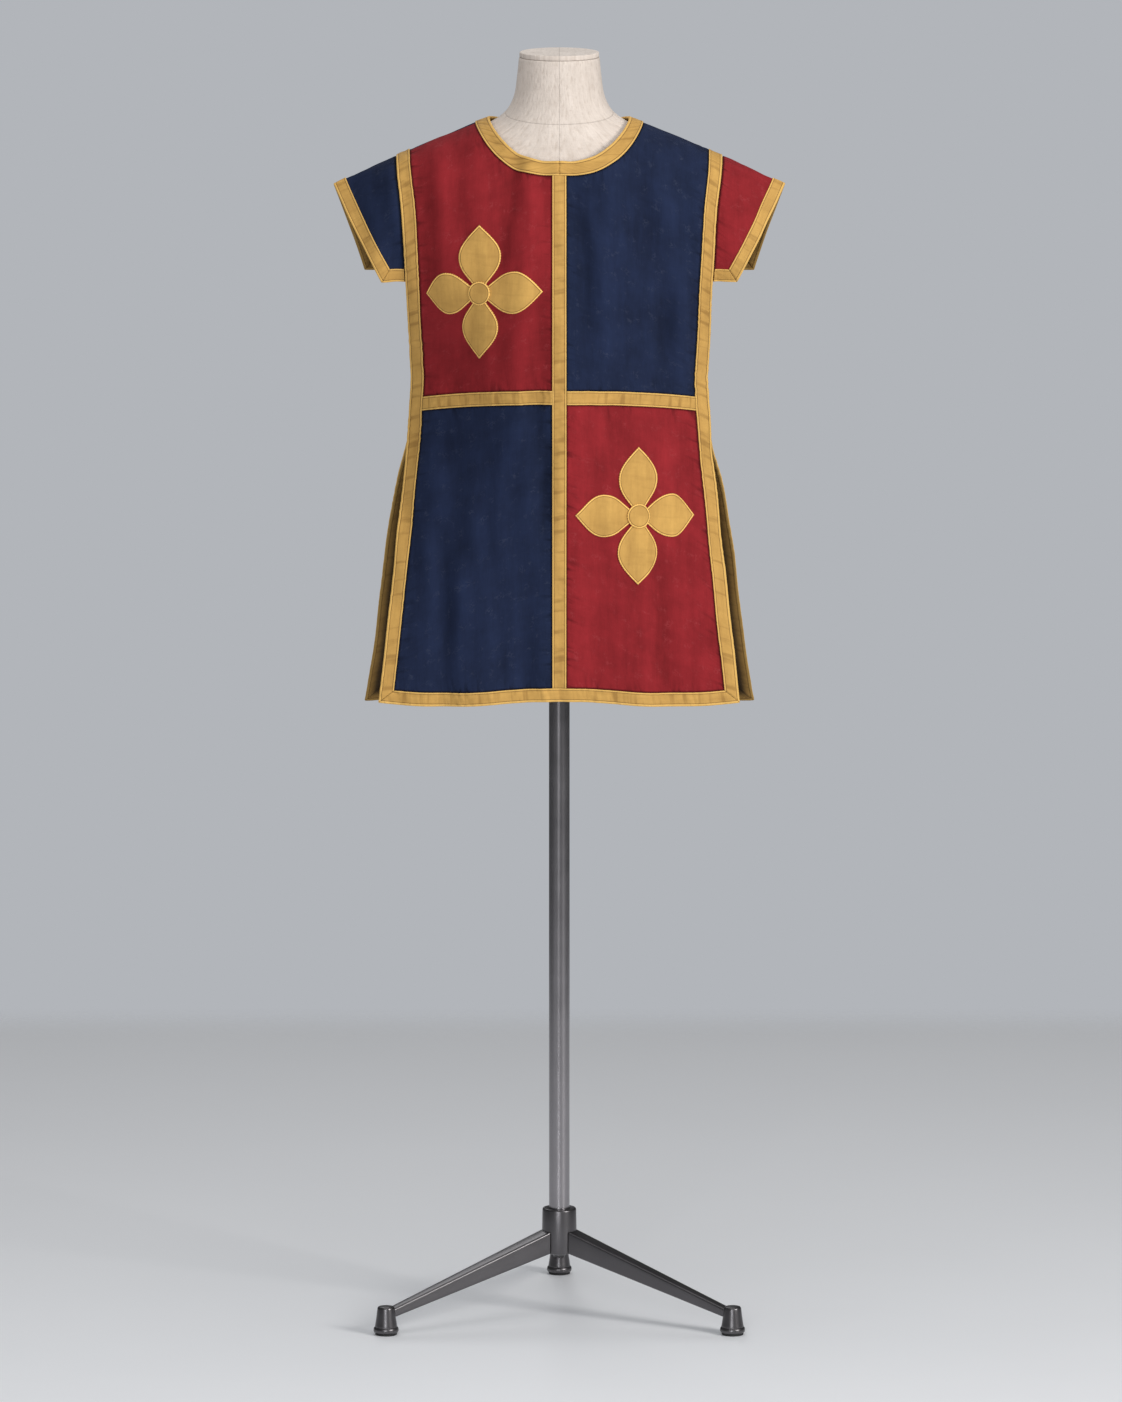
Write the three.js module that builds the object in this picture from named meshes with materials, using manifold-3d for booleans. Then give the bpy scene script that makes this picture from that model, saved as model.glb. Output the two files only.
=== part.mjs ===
// A quartered tabard on a limbless dress form with a three-legged stand.
// Millimetres, +Z up, the wearer faces -Y. Everything is built about the pole, whose foot is the
// origin, and the whole is then shifted so that the origin is the middle of the footprint.
import * as THREE from "three";
import { mergeVertices } from "three/addons/utils/BufferGeometryUtils.js";
import Module from "manifold-3d";

const wasm = await Module();
wasm.setup();

// ---------------------------------------------------------------- driving dimensions

const CLOTH = 1.6; // thickness of a panel
const TAPE = 1.0; // thickness of one layer of gold tape
const APPLIQUE = 1.4; // thickness of a petal or an eye
const GAP = 0.3; // clearance between neighbouring pieces
const BAND = 16.5; // width of a binding, from the edge that it is folded over
const STRIP = 17.6; // width of the flat bands

const FRONT = -1; // the garment's faces, as the sign of their depth
const BACK = 1;
const RIGHT = -1; // the wearer's right and left, as the sign of x
const LEFT = 1;

// The shoulder ridge falls outwards from the neck, and more steeply towards the wing's tip. Its two
// slopes meet in a rounded crown, and apex is where they would meet without it.
const RIDGE = { apex: 1610.6, fall: 0.3516, steepening: 0.000222, crown: 30 };
const SHOULDER_RADIUS = 90; // radius over which the cloth rolls from level to hanging
const NECK = { halfWidth: 91, frontReach: 120.4, backReach: 80 }; // reaches are measured down the cloth
// cornerX is the front corner of a wing, and backFlare how much further out the back one hangs.
const WING = { tip: 290, cornerX: 228.6, backFlare: 23, cornerZ: 1371.8, hem: 16.2, spread: 81, fold: 150 };
const CROSS_SEAM = { middleZ: 1229.1, sag: 23.3, atX: 178 };
const FRONT_HEM = { z: 829.6, swing: 4.8, wavelength: 340 };
const BACK_HEM = { z: 799.5, swing: 2.5, wavelength: 300 };

// Plan sections of the cloth's middle surface. edge is the half width at the bound edge, edgeDepth
// how far that edge lies from the ridge plane, and middleDepth the same on the centre line.
const FRONT_SECTIONS = [
  { level: "hem", z: 822, edge: 232.5, edgeDepth: 95, middleDepth: 128 },
  { level: "thigh", z: 933, edge: 220, edgeDepth: 79, middleDepth: 128 },
  { level: "hip", z: 1016, edge: 211, edgeDepth: 57, middleDepth: 129 },
  { level: "high hip", z: 1097, edge: 202, edgeDepth: 29, middleDepth: 129 },
  { level: "slit top", z: 1152, edge: 196, edgeDepth: 6, middleDepth: 127 },
  { level: "side seam", z: 1165, edge: 194.9, edgeDepth: 4, middleDepth: 126.6 },
  { level: "waist", z: 1235, edge: 190.5, edgeDepth: 3.5, middleDepth: 125 },
  { level: "seam top", z: 1258, edge: 191.6, edgeDepth: 3.8, middleDepth: 126 },
  { level: "underarm", z: 1271, edge: 192.2, edgeDepth: 6, middleDepth: 127 },
  { level: "low armhole", z: 1320, edge: 194.6, edgeDepth: 33, middleDepth: 131 },
  { level: "chest", z: 1370, edge: 196.8, edgeDepth: 60, middleDepth: 134 },
  { level: "upper chest", z: 1421, edge: 199.5, edgeDepth: 71, middleDepth: 129 },
  { level: "yoke", z: 1472, edge: 202.9, edgeDepth: 75, middleDepth: 118 },
  { level: "shoulder end", z: 1526, edge: 209, edgeDepth: 76, middleDepth: 103 },
  { level: "neck point", z: 1576, edge: 209, edgeDepth: 76, middleDepth: 96 },
];
const BACK_SECTIONS = [
  { level: "hem", z: 795, edge: 254, edgeDepth: 88, middleDepth: 121 },
  { level: "thigh", z: 869, edge: 241.5, edgeDepth: 78, middleDepth: 118 },
  { level: "low hip", z: 947, edge: 232, edgeDepth: 63, middleDepth: 115 },
  { level: "hip", z: 1025, edge: 222.5, edgeDepth: 43, middleDepth: 112 },
  { level: "high hip", z: 1104, edge: 209, edgeDepth: 21, middleDepth: 109 },
  { level: "slit top", z: 1152, edge: 196, edgeDepth: 6, middleDepth: 108 },
  { level: "side seam", z: 1165, edge: 194.9, edgeDepth: 4, middleDepth: 108.2 },
  { level: "waist", z: 1235, edge: 190.5, edgeDepth: 3.5, middleDepth: 109 },
  { level: "seam top", z: 1258, edge: 191.6, edgeDepth: 3.8, middleDepth: 110.8 },
  { level: "underarm", z: 1271, edge: 192.2, edgeDepth: 6, middleDepth: 112 },
  { level: "low armhole", z: 1320, edge: 194.6, edgeDepth: 33, middleDepth: 116 },
  { level: "blades", z: 1370, edge: 196.8, edgeDepth: 58, middleDepth: 119 },
  { level: "upper back", z: 1421, edge: 199.5, edgeDepth: 66, middleDepth: 117 },
  { level: "yoke", z: 1472, edge: 202.9, edgeDepth: 70, middleDepth: 109 },
  { level: "shoulder end", z: 1526, edge: 209, edgeDepth: 72, middleDepth: 94 },
  { level: "neck point", z: 1576, edge: 209, edgeDepth: 72, middleDepth: 84 },
];

// The largest soft folds: where each lies, how wide and how deep it is (a trough is negative), the
// height at which it starts and the length over which it comes in.
const FRONT_FOLDS = [
  { x: -150, width: 20, depth: -4, top: 1190, grow: 220 },
  { x: -104, width: 22, depth: 4, top: 1150, grow: 260 },
  { x: -52, width: 18, depth: -3.5, top: 1180, grow: 300 },
  { x: 44, width: 18, depth: -3, top: 1120, grow: 260 },
  { x: 98, width: 24, depth: 4, top: 1160, grow: 280 },
  { x: 158, width: 20, depth: -4.5, top: 1170, grow: 200 },
];
const BACK_FOLDS = [
  { x: -172, width: 22, depth: -5, top: 1180, grow: 240 },
  { x: -118, width: 26, depth: 6, top: 1210, grow: 260 },
  { x: -60, width: 24, depth: -5, top: 1230, grow: 300 },
  { x: 6, width: 28, depth: 5, top: 1260, grow: 320 },
  { x: 66, width: 22, depth: -5.5, top: 1190, grow: 280 },
  { x: 128, width: 26, depth: 5, top: 1220, grow: 240 },
  { x: 184, width: 20, depth: -4, top: 1160, grow: 220 },
];

// A petal's outline, as half widths at distances from the flower's centre.
const PETAL = { root: 11, rootHalf: 8.5, belly: 47, bellyHalf: 27.3, tipHalf: 0.5 };
const PETAL_TIP = { level: 84.4, upright: 87.8 };
const FLOWER_EYE = 15.4; // radius of the round patch in a flower's middle
// The level petals droop towards the side, as the cloth under them does.
const FLOWERS = [
  { name: "flower_upper", side: RIGHT, x: -102, z: 1363, droop: 0.06 },
  { name: "flower_lower", side: LEFT, x: 101.2, z: 1072, droop: -0.06 },
];
const PETALS = { left: 0, up: 90, right: 180, down: 270 };

// Horizontal sections of the dress form: half width, depth forwards and backwards, and the power of
// the superellipse, low where the shoulders fall away.
const FORM_SECTIONS = [
  { level: "base", z: 868, half: 170, front: 100, back: 92, power: 2.2 },
  { level: "hip", z: 940, half: 172, front: 102, back: 94, power: 2.2 },
  { level: "high hip", z: 1020, half: 165, front: 100, back: 90, power: 2.2 },
  { level: "low waist", z: 1100, half: 150, front: 95, back: 82, power: 2.1 },
  { level: "waist", z: 1180, half: 139, front: 93, back: 77, power: 2.1 },
  { level: "ribs", z: 1260, half: 143, front: 99, back: 83, power: 2.1 },
  { level: "chest", z: 1340, half: 161, front: 110, back: 95, power: 2.1 },
  { level: "upper chest", z: 1400, half: 178, front: 110, back: 101, power: 2.1 },
  { level: "armpit", z: 1440, half: 189, front: 106, back: 99, power: 2.1 },
  { level: "deltoid", z: 1480, half: 198, front: 99, back: 92, power: 2.1 },
  { level: "shoulder round", z: 1503, half: 202, front: 94, back: 85, power: 2.0 },
  { level: "shoulder end", z: 1518, half: 200, front: 90, back: 80, power: 1.8 },
  { level: "shoulder top", z: 1530, half: 190, front: 86, back: 75, power: 1.7 },
  { level: "slope", z: 1542, half: 165, front: 81, back: 71, power: 1.65 },
  { level: "high slope", z: 1553, half: 137, front: 75, back: 67, power: 1.65 },
  { level: "neck root", z: 1562, half: 111, front: 69, back: 64, power: 1.75 },
  { level: "neck base", z: 1570, half: 91, front: 65, back: 61, power: 1.85 },
  { level: "low neck", z: 1579, half: 76, front: 61, back: 58, power: 1.95 },
  { level: "neck", z: 1590, half: 65.5, front: 57, back: 56, power: 2 },
  { level: "mid neck", z: 1607, half: 58, front: 53, back: 54, power: 2 },
  { level: "high neck", z: 1630, half: 54.5, front: 50, back: 53, power: 2 },
  { level: "neck top", z: 1655, half: 52, front: 48, back: 52, power: 2 },
];
const FORM_SEGMENTS = 34;
const FORM_BASE = 8; // thickness of the board under the torso
const NECK_CAP = { thickness: 6.5, halfWidth: 51.4, front: 47.5, back: 51.5 };

const POLE_RADIUS = 13.4;
const HUB = { top: 142, bottom: 83, radius: 22.6, socketFloor: 118 };
const LEG = { reach: 260, rootRadius: 12, tipRadius: 248, bevel: 2 };
const LEG_ROOT = { top: 113, bottom: 83.5, width: 24 };
const LEG_TIP = { top: 34.5, bottom: 22.5, width: 14.5 };
const LEG_ANGLES = { back: 90, right: 210, left: 330 };
const FOOT_PAD = { radius: 14.2, height: 2.5 };
// The foot's turned outline, from its underside up.
const FOOT_OUTLINE = [
  { radius: 14.8, z: 2.8 },
  { radius: 16.4, z: 5.2 },
  { radius: 16.4, z: 8.5 },
  { radius: 14.8, z: 11 },
  { radius: 12.4, z: 25 },
  { radius: 11.2, z: 35.5 },
  { radius: 9.6, z: 37.2 },
];
// The pole stands in front of the footprint's middle, since one leg points straight back.
const POLE_SETBACK = LEG.reach / 4;

// ---------------------------------------------------------------- materials

const cloth = (colour) => new THREE.MeshStandardMaterial({ color: colour, roughness: 0.9, metalness: 0 });
const MADDER_RED = cloth(0x8f2230);
const NAVY_BLUE = cloth(0x1d2b4f);
const OLD_GOLD = cloth(0xc29a4b);
const LINEN = cloth(0xe2d9d0);
const GUNMETAL = new THREE.MeshStandardMaterial({ color: 0x565557, roughness: 0.4, metalness: 0.8 });
const BLACK_RUBBER = new THREE.MeshStandardMaterial({ color: 0x141414, roughness: 0.8, metalness: 0 });

// ---------------------------------------------------------------- the cloth's surface

const lerp = THREE.MathUtils.lerp;
const clamp = THREE.MathUtils.clamp;
const smoothstep = THREE.MathUtils.smoothstep;
const steps = (count) => Array.from({ length: count + 1 }, (_, i) => i / count);

// A smooth curve through one column of a table, read at z.
function readTable(rows, column, z) {
  const last = rows.length - 1;
  const level = clamp(z, rows[0].z, rows[last].z);
  let i = 0;
  while (i < last - 1 && rows[i + 1].z < level) i += 1;
  const slopeAt = (k) => {
    const below = rows[Math.max(k - 1, 0)];
    const above = rows[Math.min(k + 1, last)];
    return (above[column] - below[column]) / (above.z - below.z);
  };
  const span = rows[i + 1].z - rows[i].z;
  const t = (level - rows[i].z) / span;
  const between = lerp(rows[i][column], rows[i + 1][column], t * t * (3 - 2 * t));
  return between + span * t * (1 - t) * ((1 - t) * slopeAt(i) - t * slopeAt(i + 1));
}

const sectionsOf = (face) => (face === FRONT ? FRONT_SECTIONS : BACK_SECTIONS);
const edgeAt = (z, face) => readTable(sectionsOf(face), "edge", z);
const ridgeAt = (x) => RIDGE.apex - RIDGE.fall * Math.hypot(x, RIDGE.crown) - RIDGE.steepening * x * x;

const QUARTER_ROLL = (SHOULDER_RADIUS * Math.PI) / 2;
const dropAfter = (length) =>
  SHOULDER_RADIUS * (1 - Math.cos(Math.min(length, QUARTER_ROLL) / SHOULDER_RADIUS)) +
  Math.max(length - QUARTER_ROLL, 0);
const lengthTo = (drop) =>
  SHOULDER_RADIUS * Math.acos(1 - clamp(drop / SHOULDER_RADIUS, 0, 1)) +
  Math.max(drop - SHOULDER_RADIUS, 0);

const crossSeam = (x) => CROSS_SEAM.middleZ - CROSS_SEAM.sag * (x / CROSS_SEAM.atX) ** 2;

function hemline(x, face) {
  const hem = face === FRONT ? FRONT_HEM : BACK_HEM;
  return hem.z + hem.swing * Math.cos((2 * Math.PI * x) / hem.wavelength);
}

function foldDepth(x, z, face) {
  const depths = (face === FRONT ? FRONT_FOLDS : BACK_FOLDS).map((fold) => {
    const across = Math.exp(-(((x - fold.x) / fold.width) ** 2));
    return fold.depth * across * smoothstep(fold.top - z, 0, fold.grow);
  });
  return depths.reduce((sum, depth) => sum + depth, 0);
}

// A point of the cloth's middle surface. A place on the cloth is its x and its length: the distance
// down the cloth from the shoulder ridge, negative to the front and positive to the back.
function surfacePoint(x, length) {
  const face = length < 0 ? FRONT : BACK;
  const drop = dropAfter(Math.abs(length));
  const z = ridgeAt(x) - drop;
  const rows = sectionsOf(face);
  const edge = edgeAt(z, face);
  const edgeDepth = readTable(rows, "edgeDepth", z);
  const middleDepth = readTable(rows, "middleDepth", z);
  const across = Math.min(Math.abs(x) / edge, 1.02);
  const plan = edgeDepth + (middleDepth - edgeDepth) * Math.cos((across * Math.PI) / 2);
  const rolled = Math.sin(Math.min(Math.abs(length) / SHOULDER_RADIUS, Math.PI / 2));
  const folded = Math.sin((clamp(drop / WING.fold, 0, 1) * Math.PI) / 2);
  const out = smoothstep(Math.abs(x) - edge, 0, WING.spread);
  return new THREE.Vector3(x, face * (plan * lerp(rolled, folded, out) + foldDepth(x, z, face)), z);
}

// The same point moved out along the cloth's normal by lift.
function clothPoint({ x, length }, lift) {
  const step = 0.5;
  const across = surfacePoint(x + step, length).sub(surfacePoint(x - step, length));
  const along = surfacePoint(x, length + step).sub(surfacePoint(x, length - step));
  return surfacePoint(x, length).addScaledVector(across.cross(along).normalize(), lift);
}

// ---------------------------------------------------------------- closed meshes

// A closed mesh from points and triangles: shared points merged, faces turned outwards.
function closedMesh(points, triangles) {
  const geometry = new THREE.BufferGeometry().setFromPoints(points);
  geometry.setIndex(triangles);
  const merged = mergeVertices(geometry, 1e-3);
  const index = merged.index.array;
  const corners = [new THREE.Vector3(), new THREE.Vector3(), new THREE.Vector3()];
  const kept = [];
  let volume = 0;
  for (let i = 0; i < index.length; i += 3) {
    const ids = [index[i], index[i + 1], index[i + 2]];
    if (new Set(ids).size < 3) continue;
    ids.forEach((id, n) => corners[n].fromBufferAttribute(merged.attributes.position, id));
    volume += corners[0].dot(corners[1].clone().cross(corners[2]));
    kept.push(...ids);
  }
  merged.setIndex(volume < 0 ? kept.reverse() : kept);
  merged.computeVertexNormals();
  return merged;
}

// Triangles of lattices of places, each cell split along the same diagonal.
function latticeTriangles(lattices) {
  return lattices.flatMap((lattice) =>
    lattice.slice(1).flatMap((lower, r) =>
      lower.slice(1).flatMap((corner, c) => [
        [lattice[r][c], lower[c], corner],
        [lattice[r][c], corner, lattice[r][c + 1]],
      ]),
    ),
  );
}

// A wall of cloth over lattices of places that share their edges, between two lifts.
function clothWall(lattices, inner, outer) {
  const ids = new Map();
  const points = [];
  const idOf = (place) => {
    const key = `${place.x.toFixed(3)} ${place.length.toFixed(3)}`;
    if (!ids.has(key)) {
      ids.set(key, points.length);
      points.push(clothPoint(place, outer), clothPoint(place, inner));
    }
    return ids.get(key);
  };
  const outwards = ([a, b, c]) => {
    const normal = points[b].clone().sub(points[a]).cross(points[c].clone().sub(points[a]));
    return normal.dot(points[a].clone().sub(points[a + 1])) > 0 ? [a, b, c] : [a, c, b];
  };
  const faces = latticeTriangles(lattices).map((places) => outwards(places.map(idOf)));
  const edges = faces.flatMap(([a, b, c]) => [[a, b], [b, c], [c, a]]);
  const seen = new Set(edges.map(([a, b]) => `${a} ${b}`));
  const rim = edges.filter(([a, b]) => !seen.has(`${b} ${a}`));
  const triangles = [
    ...faces.flat(),
    ...faces.flatMap(([a, b, c]) => [a + 1, c + 1, b + 1]),
    ...rim.flatMap(([a, b]) => [b, a, a + 1, b, a + 1, b + 1]),
  ];
  return closedMesh(points, triangles);
}

// A solid through rings of points. ends are the triangles that close its two end rings, and turned
// says which of its cells are split along the other diagonal.
function loft(rings, ends, turned = () => false) {
  const count = rings[0].length;
  const triangles = [];
  for (let r = 0; r < rings.length - 1; r += 1) {
    for (let i = 0; i < count; i += 1) {
      const a = r * count + i;
      const b = r * count + ((i + 1) % count);
      if (turned(r, i)) triangles.push(a, b, a + count, b, b + count, a + count);
      else triangles.push(a, b, b + count, a, b + count, a + count);
    }
  }
  const last = (rings.length - 1) * count;
  ends.forEach(([a, b, c]) => triangles.push(a, c, b, last + a, last + b, last + c));
  return closedMesh(rings.flat(), triangles);
}

// Triangles that fill a flat outline of [u, v] corners.
const filled = (outline) =>
  THREE.ShapeUtils.triangulateShape(
    outline.map(([u, v]) => new THREE.Vector2(u, v)),
    [],
  );

const asSolid = (geometry) =>
  new wasm.Manifold(
    new wasm.Mesh({
      numProp: 3,
      vertProperties: geometry.attributes.position.array,
      triVerts: Uint32Array.from(geometry.index.array),
    }),
  );

function asGeometry(solid) {
  const { vertProperties, triVerts } = solid.getMesh();
  const geometry = new THREE.BufferGeometry();
  geometry.setAttribute("position", new THREE.BufferAttribute(vertProperties, 3));
  geometry.setIndex(new THREE.BufferAttribute(triVerts, 1));
  geometry.computeVertexNormals();
  return geometry;
}

// ---------------------------------------------------------------- panels

const COLUMNS = 10; // cells across a half panel between its centre band and its side binding
const NECK_COLUMNS = 7; // columns of a half panel, from the centre, that start at the neck
const INNER_COLUMN = COLUMNS + 1; // the column on the side binding's inner edge
const EDGE_COLUMN = COLUMNS + 2; // the column on the panel's own edge
const UPPER_ROWS = 14;
const LOWER_ROWS = 11;
const BACK_ROWS = 22;

// Where a half panel's columns lie at height z. The second is on the edge of the centre band.
function columnsAt(z, face) {
  const edge = edgeAt(z, face);
  const between = steps(COLUMNS).map((t) => lerp(STRIP / 2, edge - BAND, t));
  return [face === FRONT ? GAP / 2 : 0, ...between, edge];
}

// The place on a column, length down the cloth. Half panels are laid out with positive x and length.
function onColumn(column, length, face) {
  let x = 0;
  for (let pass = 0; pass < 5; pass += 1) x = columnsAt(ridgeAt(x) - dropAfter(length), face)[column];
  return { x, length };
}

// Places where all the columns cross a line given as heights.
function acrossColumns(heightAt, face) {
  return steps(EDGE_COLUMN).map((_, column) => {
    let x = 0;
    for (let pass = 0; pass < 5; pass += 1) x = columnsAt(heightAt(x), face)[column];
    return { x, length: lengthTo(ridgeAt(x) - heightAt(x)) };
  });
}

// Places round a quarter of the neck, inset from its edge, from the centre line to the ridge.
function neckPlaces(face, inset) {
  const reach = face === FRONT ? NECK.frontReach : NECK.backReach;
  const width = NECK.halfWidth;
  const angleAt = (x) => Math.acos(x / (width + (BAND * reach) / width));
  const [centre, second] = columnsAt(RIDGE.apex, face);
  const angles = [angleAt(centre), ...steps(NECK_COLUMNS - 1).map((t) => angleAt(second) * (1 - t))];
  return angles.map((angle, column) => {
    const normal = new THREE.Vector2(Math.cos(angle) / width, Math.sin(angle) / reach).setLength(inset);
    const x = width * Math.cos(angle) + normal.x;
    const length = Math.max(reach * Math.sin(angle) + normal.y, GAP / 2);
    return { x: inset === BAND && column < 2 ? [centre, second][column] : x, length };
  });
}

// The line from which a half panel's long columns start: the neck binding's outer edge, then the ridge.
function topLine(face) {
  const neck = neckPlaces(face, BAND);
  const start = neck.at(-1).x;
  const end = onColumn(INNER_COLUMN, GAP / 2, face).x;
  const count = INNER_COLUMN - NECK_COLUMNS;
  const ridge = steps(count).slice(1).map((t) => ({ x: lerp(start, end, t), length: GAP / 2 }));
  return [...neck, ...ridge, onColumn(EDGE_COLUMN, GAP / 2, face)];
}

// Rows of places between two lines. The columns keep to their own courses from half way down.
function rowsBetween(top, bottom, count, face, crowding = 1) {
  return steps(count).map((t) =>
    top.map((start, column) => {
      const place = onColumn(column, lerp(start.length, bottom[column].length, t ** crowding), face);
      const astray = (1 - smoothstep(t, 0, 0.5)) * (start.x - onColumn(column, start.length, face).x);
      return t === 1 ? bottom[column] : { ...place, x: place.x + astray };
    }),
  );
}

const turnedTo = (lattice, side, face) =>
  lattice.map((row) => row.map(({ x, length }) => ({ x: side * x, length: face * length })));

// The lattices of a half panel: rows run down the body, neck is the strip under the neck binding.
function upperQuarter(side) {
  const band = acrossColumns((x) => crossSeam(x) + STRIP / 2, FRONT);
  const seam = acrossColumns((x) => crossSeam(x) + GAP / 2, FRONT);
  const rows = [...rowsBetween(topLine(FRONT), band, UPPER_ROWS, FRONT, 1.3), seam];
  const neck = [neckPlaces(FRONT, 0), neckPlaces(FRONT, BAND)];
  return { rows: turnedTo(rows, side, FRONT), neck: turnedTo(neck, side, FRONT) };
}

function lowerQuarter(side) {
  const seam = acrossColumns((x) => crossSeam(x) - GAP / 2, FRONT);
  const band = acrossColumns((x) => crossSeam(x) - STRIP / 2, FRONT);
  const hemTop = acrossColumns((x) => hemline(x, FRONT) + BAND, FRONT);
  const hem = acrossColumns((x) => hemline(x, FRONT), FRONT);
  const rows = [seam, ...rowsBetween(band, hemTop, LOWER_ROWS, FRONT), hem];
  return { rows: turnedTo(rows, side, FRONT) };
}

function backHalf(side) {
  const hemTop = acrossColumns((x) => hemline(x, BACK) + BAND, BACK);
  const hem = acrossColumns((x) => hemline(x, BACK), BACK);
  const rows = [...rowsBetween(topLine(BACK), hemTop, BACK_ROWS, BACK, 1.4), hem];
  const neck = [neckPlaces(BACK, 0), neckPlaces(BACK, BAND)];
  return { rows: turnedTo(rows, side, BACK), neck: turnedTo(neck, side, BACK) };
}

const LAYOUT = {
  upper: { [RIGHT]: upperQuarter(RIGHT), [LEFT]: upperQuarter(LEFT) },
  lower: { [RIGHT]: lowerQuarter(RIGHT), [LEFT]: lowerQuarter(LEFT) },
  back: { [RIGHT]: backHalf(RIGHT), [LEFT]: backHalf(LEFT) },
};

const panel = (...lattices) => clothWall(lattices, -CLOTH / 2, CLOTH / 2);

// ---------------------------------------------------------------- wings

const WING_COLUMNS = 4; // cells between the armhole seam and the outer binding
const WING_ROWS = 8; // rows between the ridge and a hem binding
const SEAM_OFFSET = TAPE + 4 * GAP; // from the panel's edge to the wing's

// The outer edge leans inwards, so that a band along it is wider when measured level.
const WING_RISE = ridgeAt(WING.tip) - WING.cornerZ;
const LEVEL_BAND = BAND / Math.cos(Math.atan2(WING.tip - WING.cornerX, WING_RISE));

// Places along one row of a half wing. Each column drops from the ridge towards the hem binding.
function wingRow(down, face) {
  const flare = face === FRONT ? 0 : WING.backFlare;
  const leanAt = (z) => {
    const height = (z - WING.cornerZ) / WING_RISE;
    return lerp(WING.cornerX, WING.tip, height) + flare * Math.max(1 - height, 0);
  };
  const columnAt = (column, z) => {
    const inner = edgeAt(z, FRONT) + SEAM_OFFSET;
    if (column > WING_COLUMNS) return leanAt(z);
    return lerp(inner, leanAt(z) - LEVEL_BAND, column / WING_COLUMNS);
  };
  return steps(WING_COLUMNS + 1).map((_, column) => {
    let top = WING.tip;
    for (let pass = 0; pass < 8; pass += 1) top = columnAt(column, ridgeAt(top));
    const z = down > 1 ? WING.cornerZ : lerp(ridgeAt(top), WING.cornerZ + WING.hem, down * down);
    const x = columnAt(column, z);
    return { x, length: down === 0 ? 0 : lengthTo(ridgeAt(x) - z) };
  });
}

// Rows of half a wing from the ridge to its hem.
const wingRows = (side, face) =>
  turnedTo([...steps(WING_ROWS), 2].map((down) => wingRow(down, face)), side, face);

// ---------------------------------------------------------------- bands

const UNDER_TAPE = CLOTH / 2 + GAP; // lift of a band's underside
const OVER_TAPE = UNDER_TAPE + TAPE;

// The section of a binding folded over an edge: which of a station's two places each corner lies at,
// how far past that place, and on which layer.
const BINDING_SECTION = [
  { at: "inner", past: 0, lift: UNDER_TAPE },
  { at: "inner", past: 0, lift: OVER_TAPE },
  { at: "edge", past: GAP + TAPE, lift: OVER_TAPE },
  { at: "edge", past: GAP + TAPE, lift: -OVER_TAPE },
  { at: "inner", past: 0, lift: -OVER_TAPE },
  { at: "inner", past: 0, lift: -UNDER_TAPE },
  { at: "edge", past: GAP, lift: -UNDER_TAPE },
  { at: "edge", past: GAP, lift: UNDER_TAPE },
];
const BINDING_END = filled(
  BINDING_SECTION.map(({ at, past, lift }) => [at === "inner" ? BAND : -past, lift]),
);

// A binding along stations, each a place on the edge and one on the binding's inner line. leaning
// marks the stations from which the cloth's cells are split the other way.
function binding(stations, closed = false) {
  const rings = stations.map((station) =>
    BINDING_SECTION.map(({ at, past, lift }) => {
      const inner = clothPoint(station.inner, lift);
      if (at === "inner") return inner;
      return inner.lerp(clothPoint(station.edge, lift), 1 + past / BAND);
    }),
  );
  const turned = (r, i) => (i % 4 === 3) !== Boolean(stations[r].leaning);
  return closed ? loft([...rings, rings[0]], [], turned) : loft(rings, BINDING_END, turned);
}

// Stations down the last two columns of a lattice, ending in the hem's mitre.
function sideStations(rows) {
  const stations = rows.slice(0, -1).map((row) => ({ inner: row.at(-2), edge: row.at(-1) }));
  return [...stations, { inner: rows.at(-2).at(-2), edge: rows.at(-1).at(-1) }];
}

// A place moved towards the centre line, which leaves a mitre its gap.
const drawnIn = (place) => ({ ...place, x: place.x - Math.sign(place.x) * GAP * Math.SQRT2 });

// Stations along the last two rows of a lattice, from the hem's inner end out to its mitre.
function hemStations(rows) {
  const [innerRow, edgeRow] = rows.slice(-2);
  const corner = drawnIn(innerRow.at(-2));
  const along = innerRow.slice(0, -2).map((inner, column) => ({ inner, edge: edgeRow[column] }));
  const mitre = { inner: corner, edge: drawnIn(edgeRow.at(-1)) };
  return [...along, { inner: corner, edge: edgeRow.at(-2) }, mitre];
}

// Stations in the opposite order, with the cells' diagonals kept.
const backwards = (stations) =>
  stations.toReversed().map((station) => ({ ...station, leaning: !station.leaning }));

function neckStations() {
  const quarter = ({ neck: [edge, inner] }) =>
    edge.map((place, column) => ({ edge: place, inner: inner[column], leaning: true }));
  const { upper, back } = LAYOUT;
  return [
    ...backwards(quarter(upper[RIGHT])),
    ...quarter(upper[LEFT]),
    ...backwards(quarter(back[LEFT])).slice(0, -1),
    ...quarter(back[RIGHT]),
  ];
}

// A flat band that lies on a panel.
const flatBand = (...lattices) => clothWall(lattices, UNDER_TAPE, OVER_TAPE);

// ---------------------------------------------------------------- flowers

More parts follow.
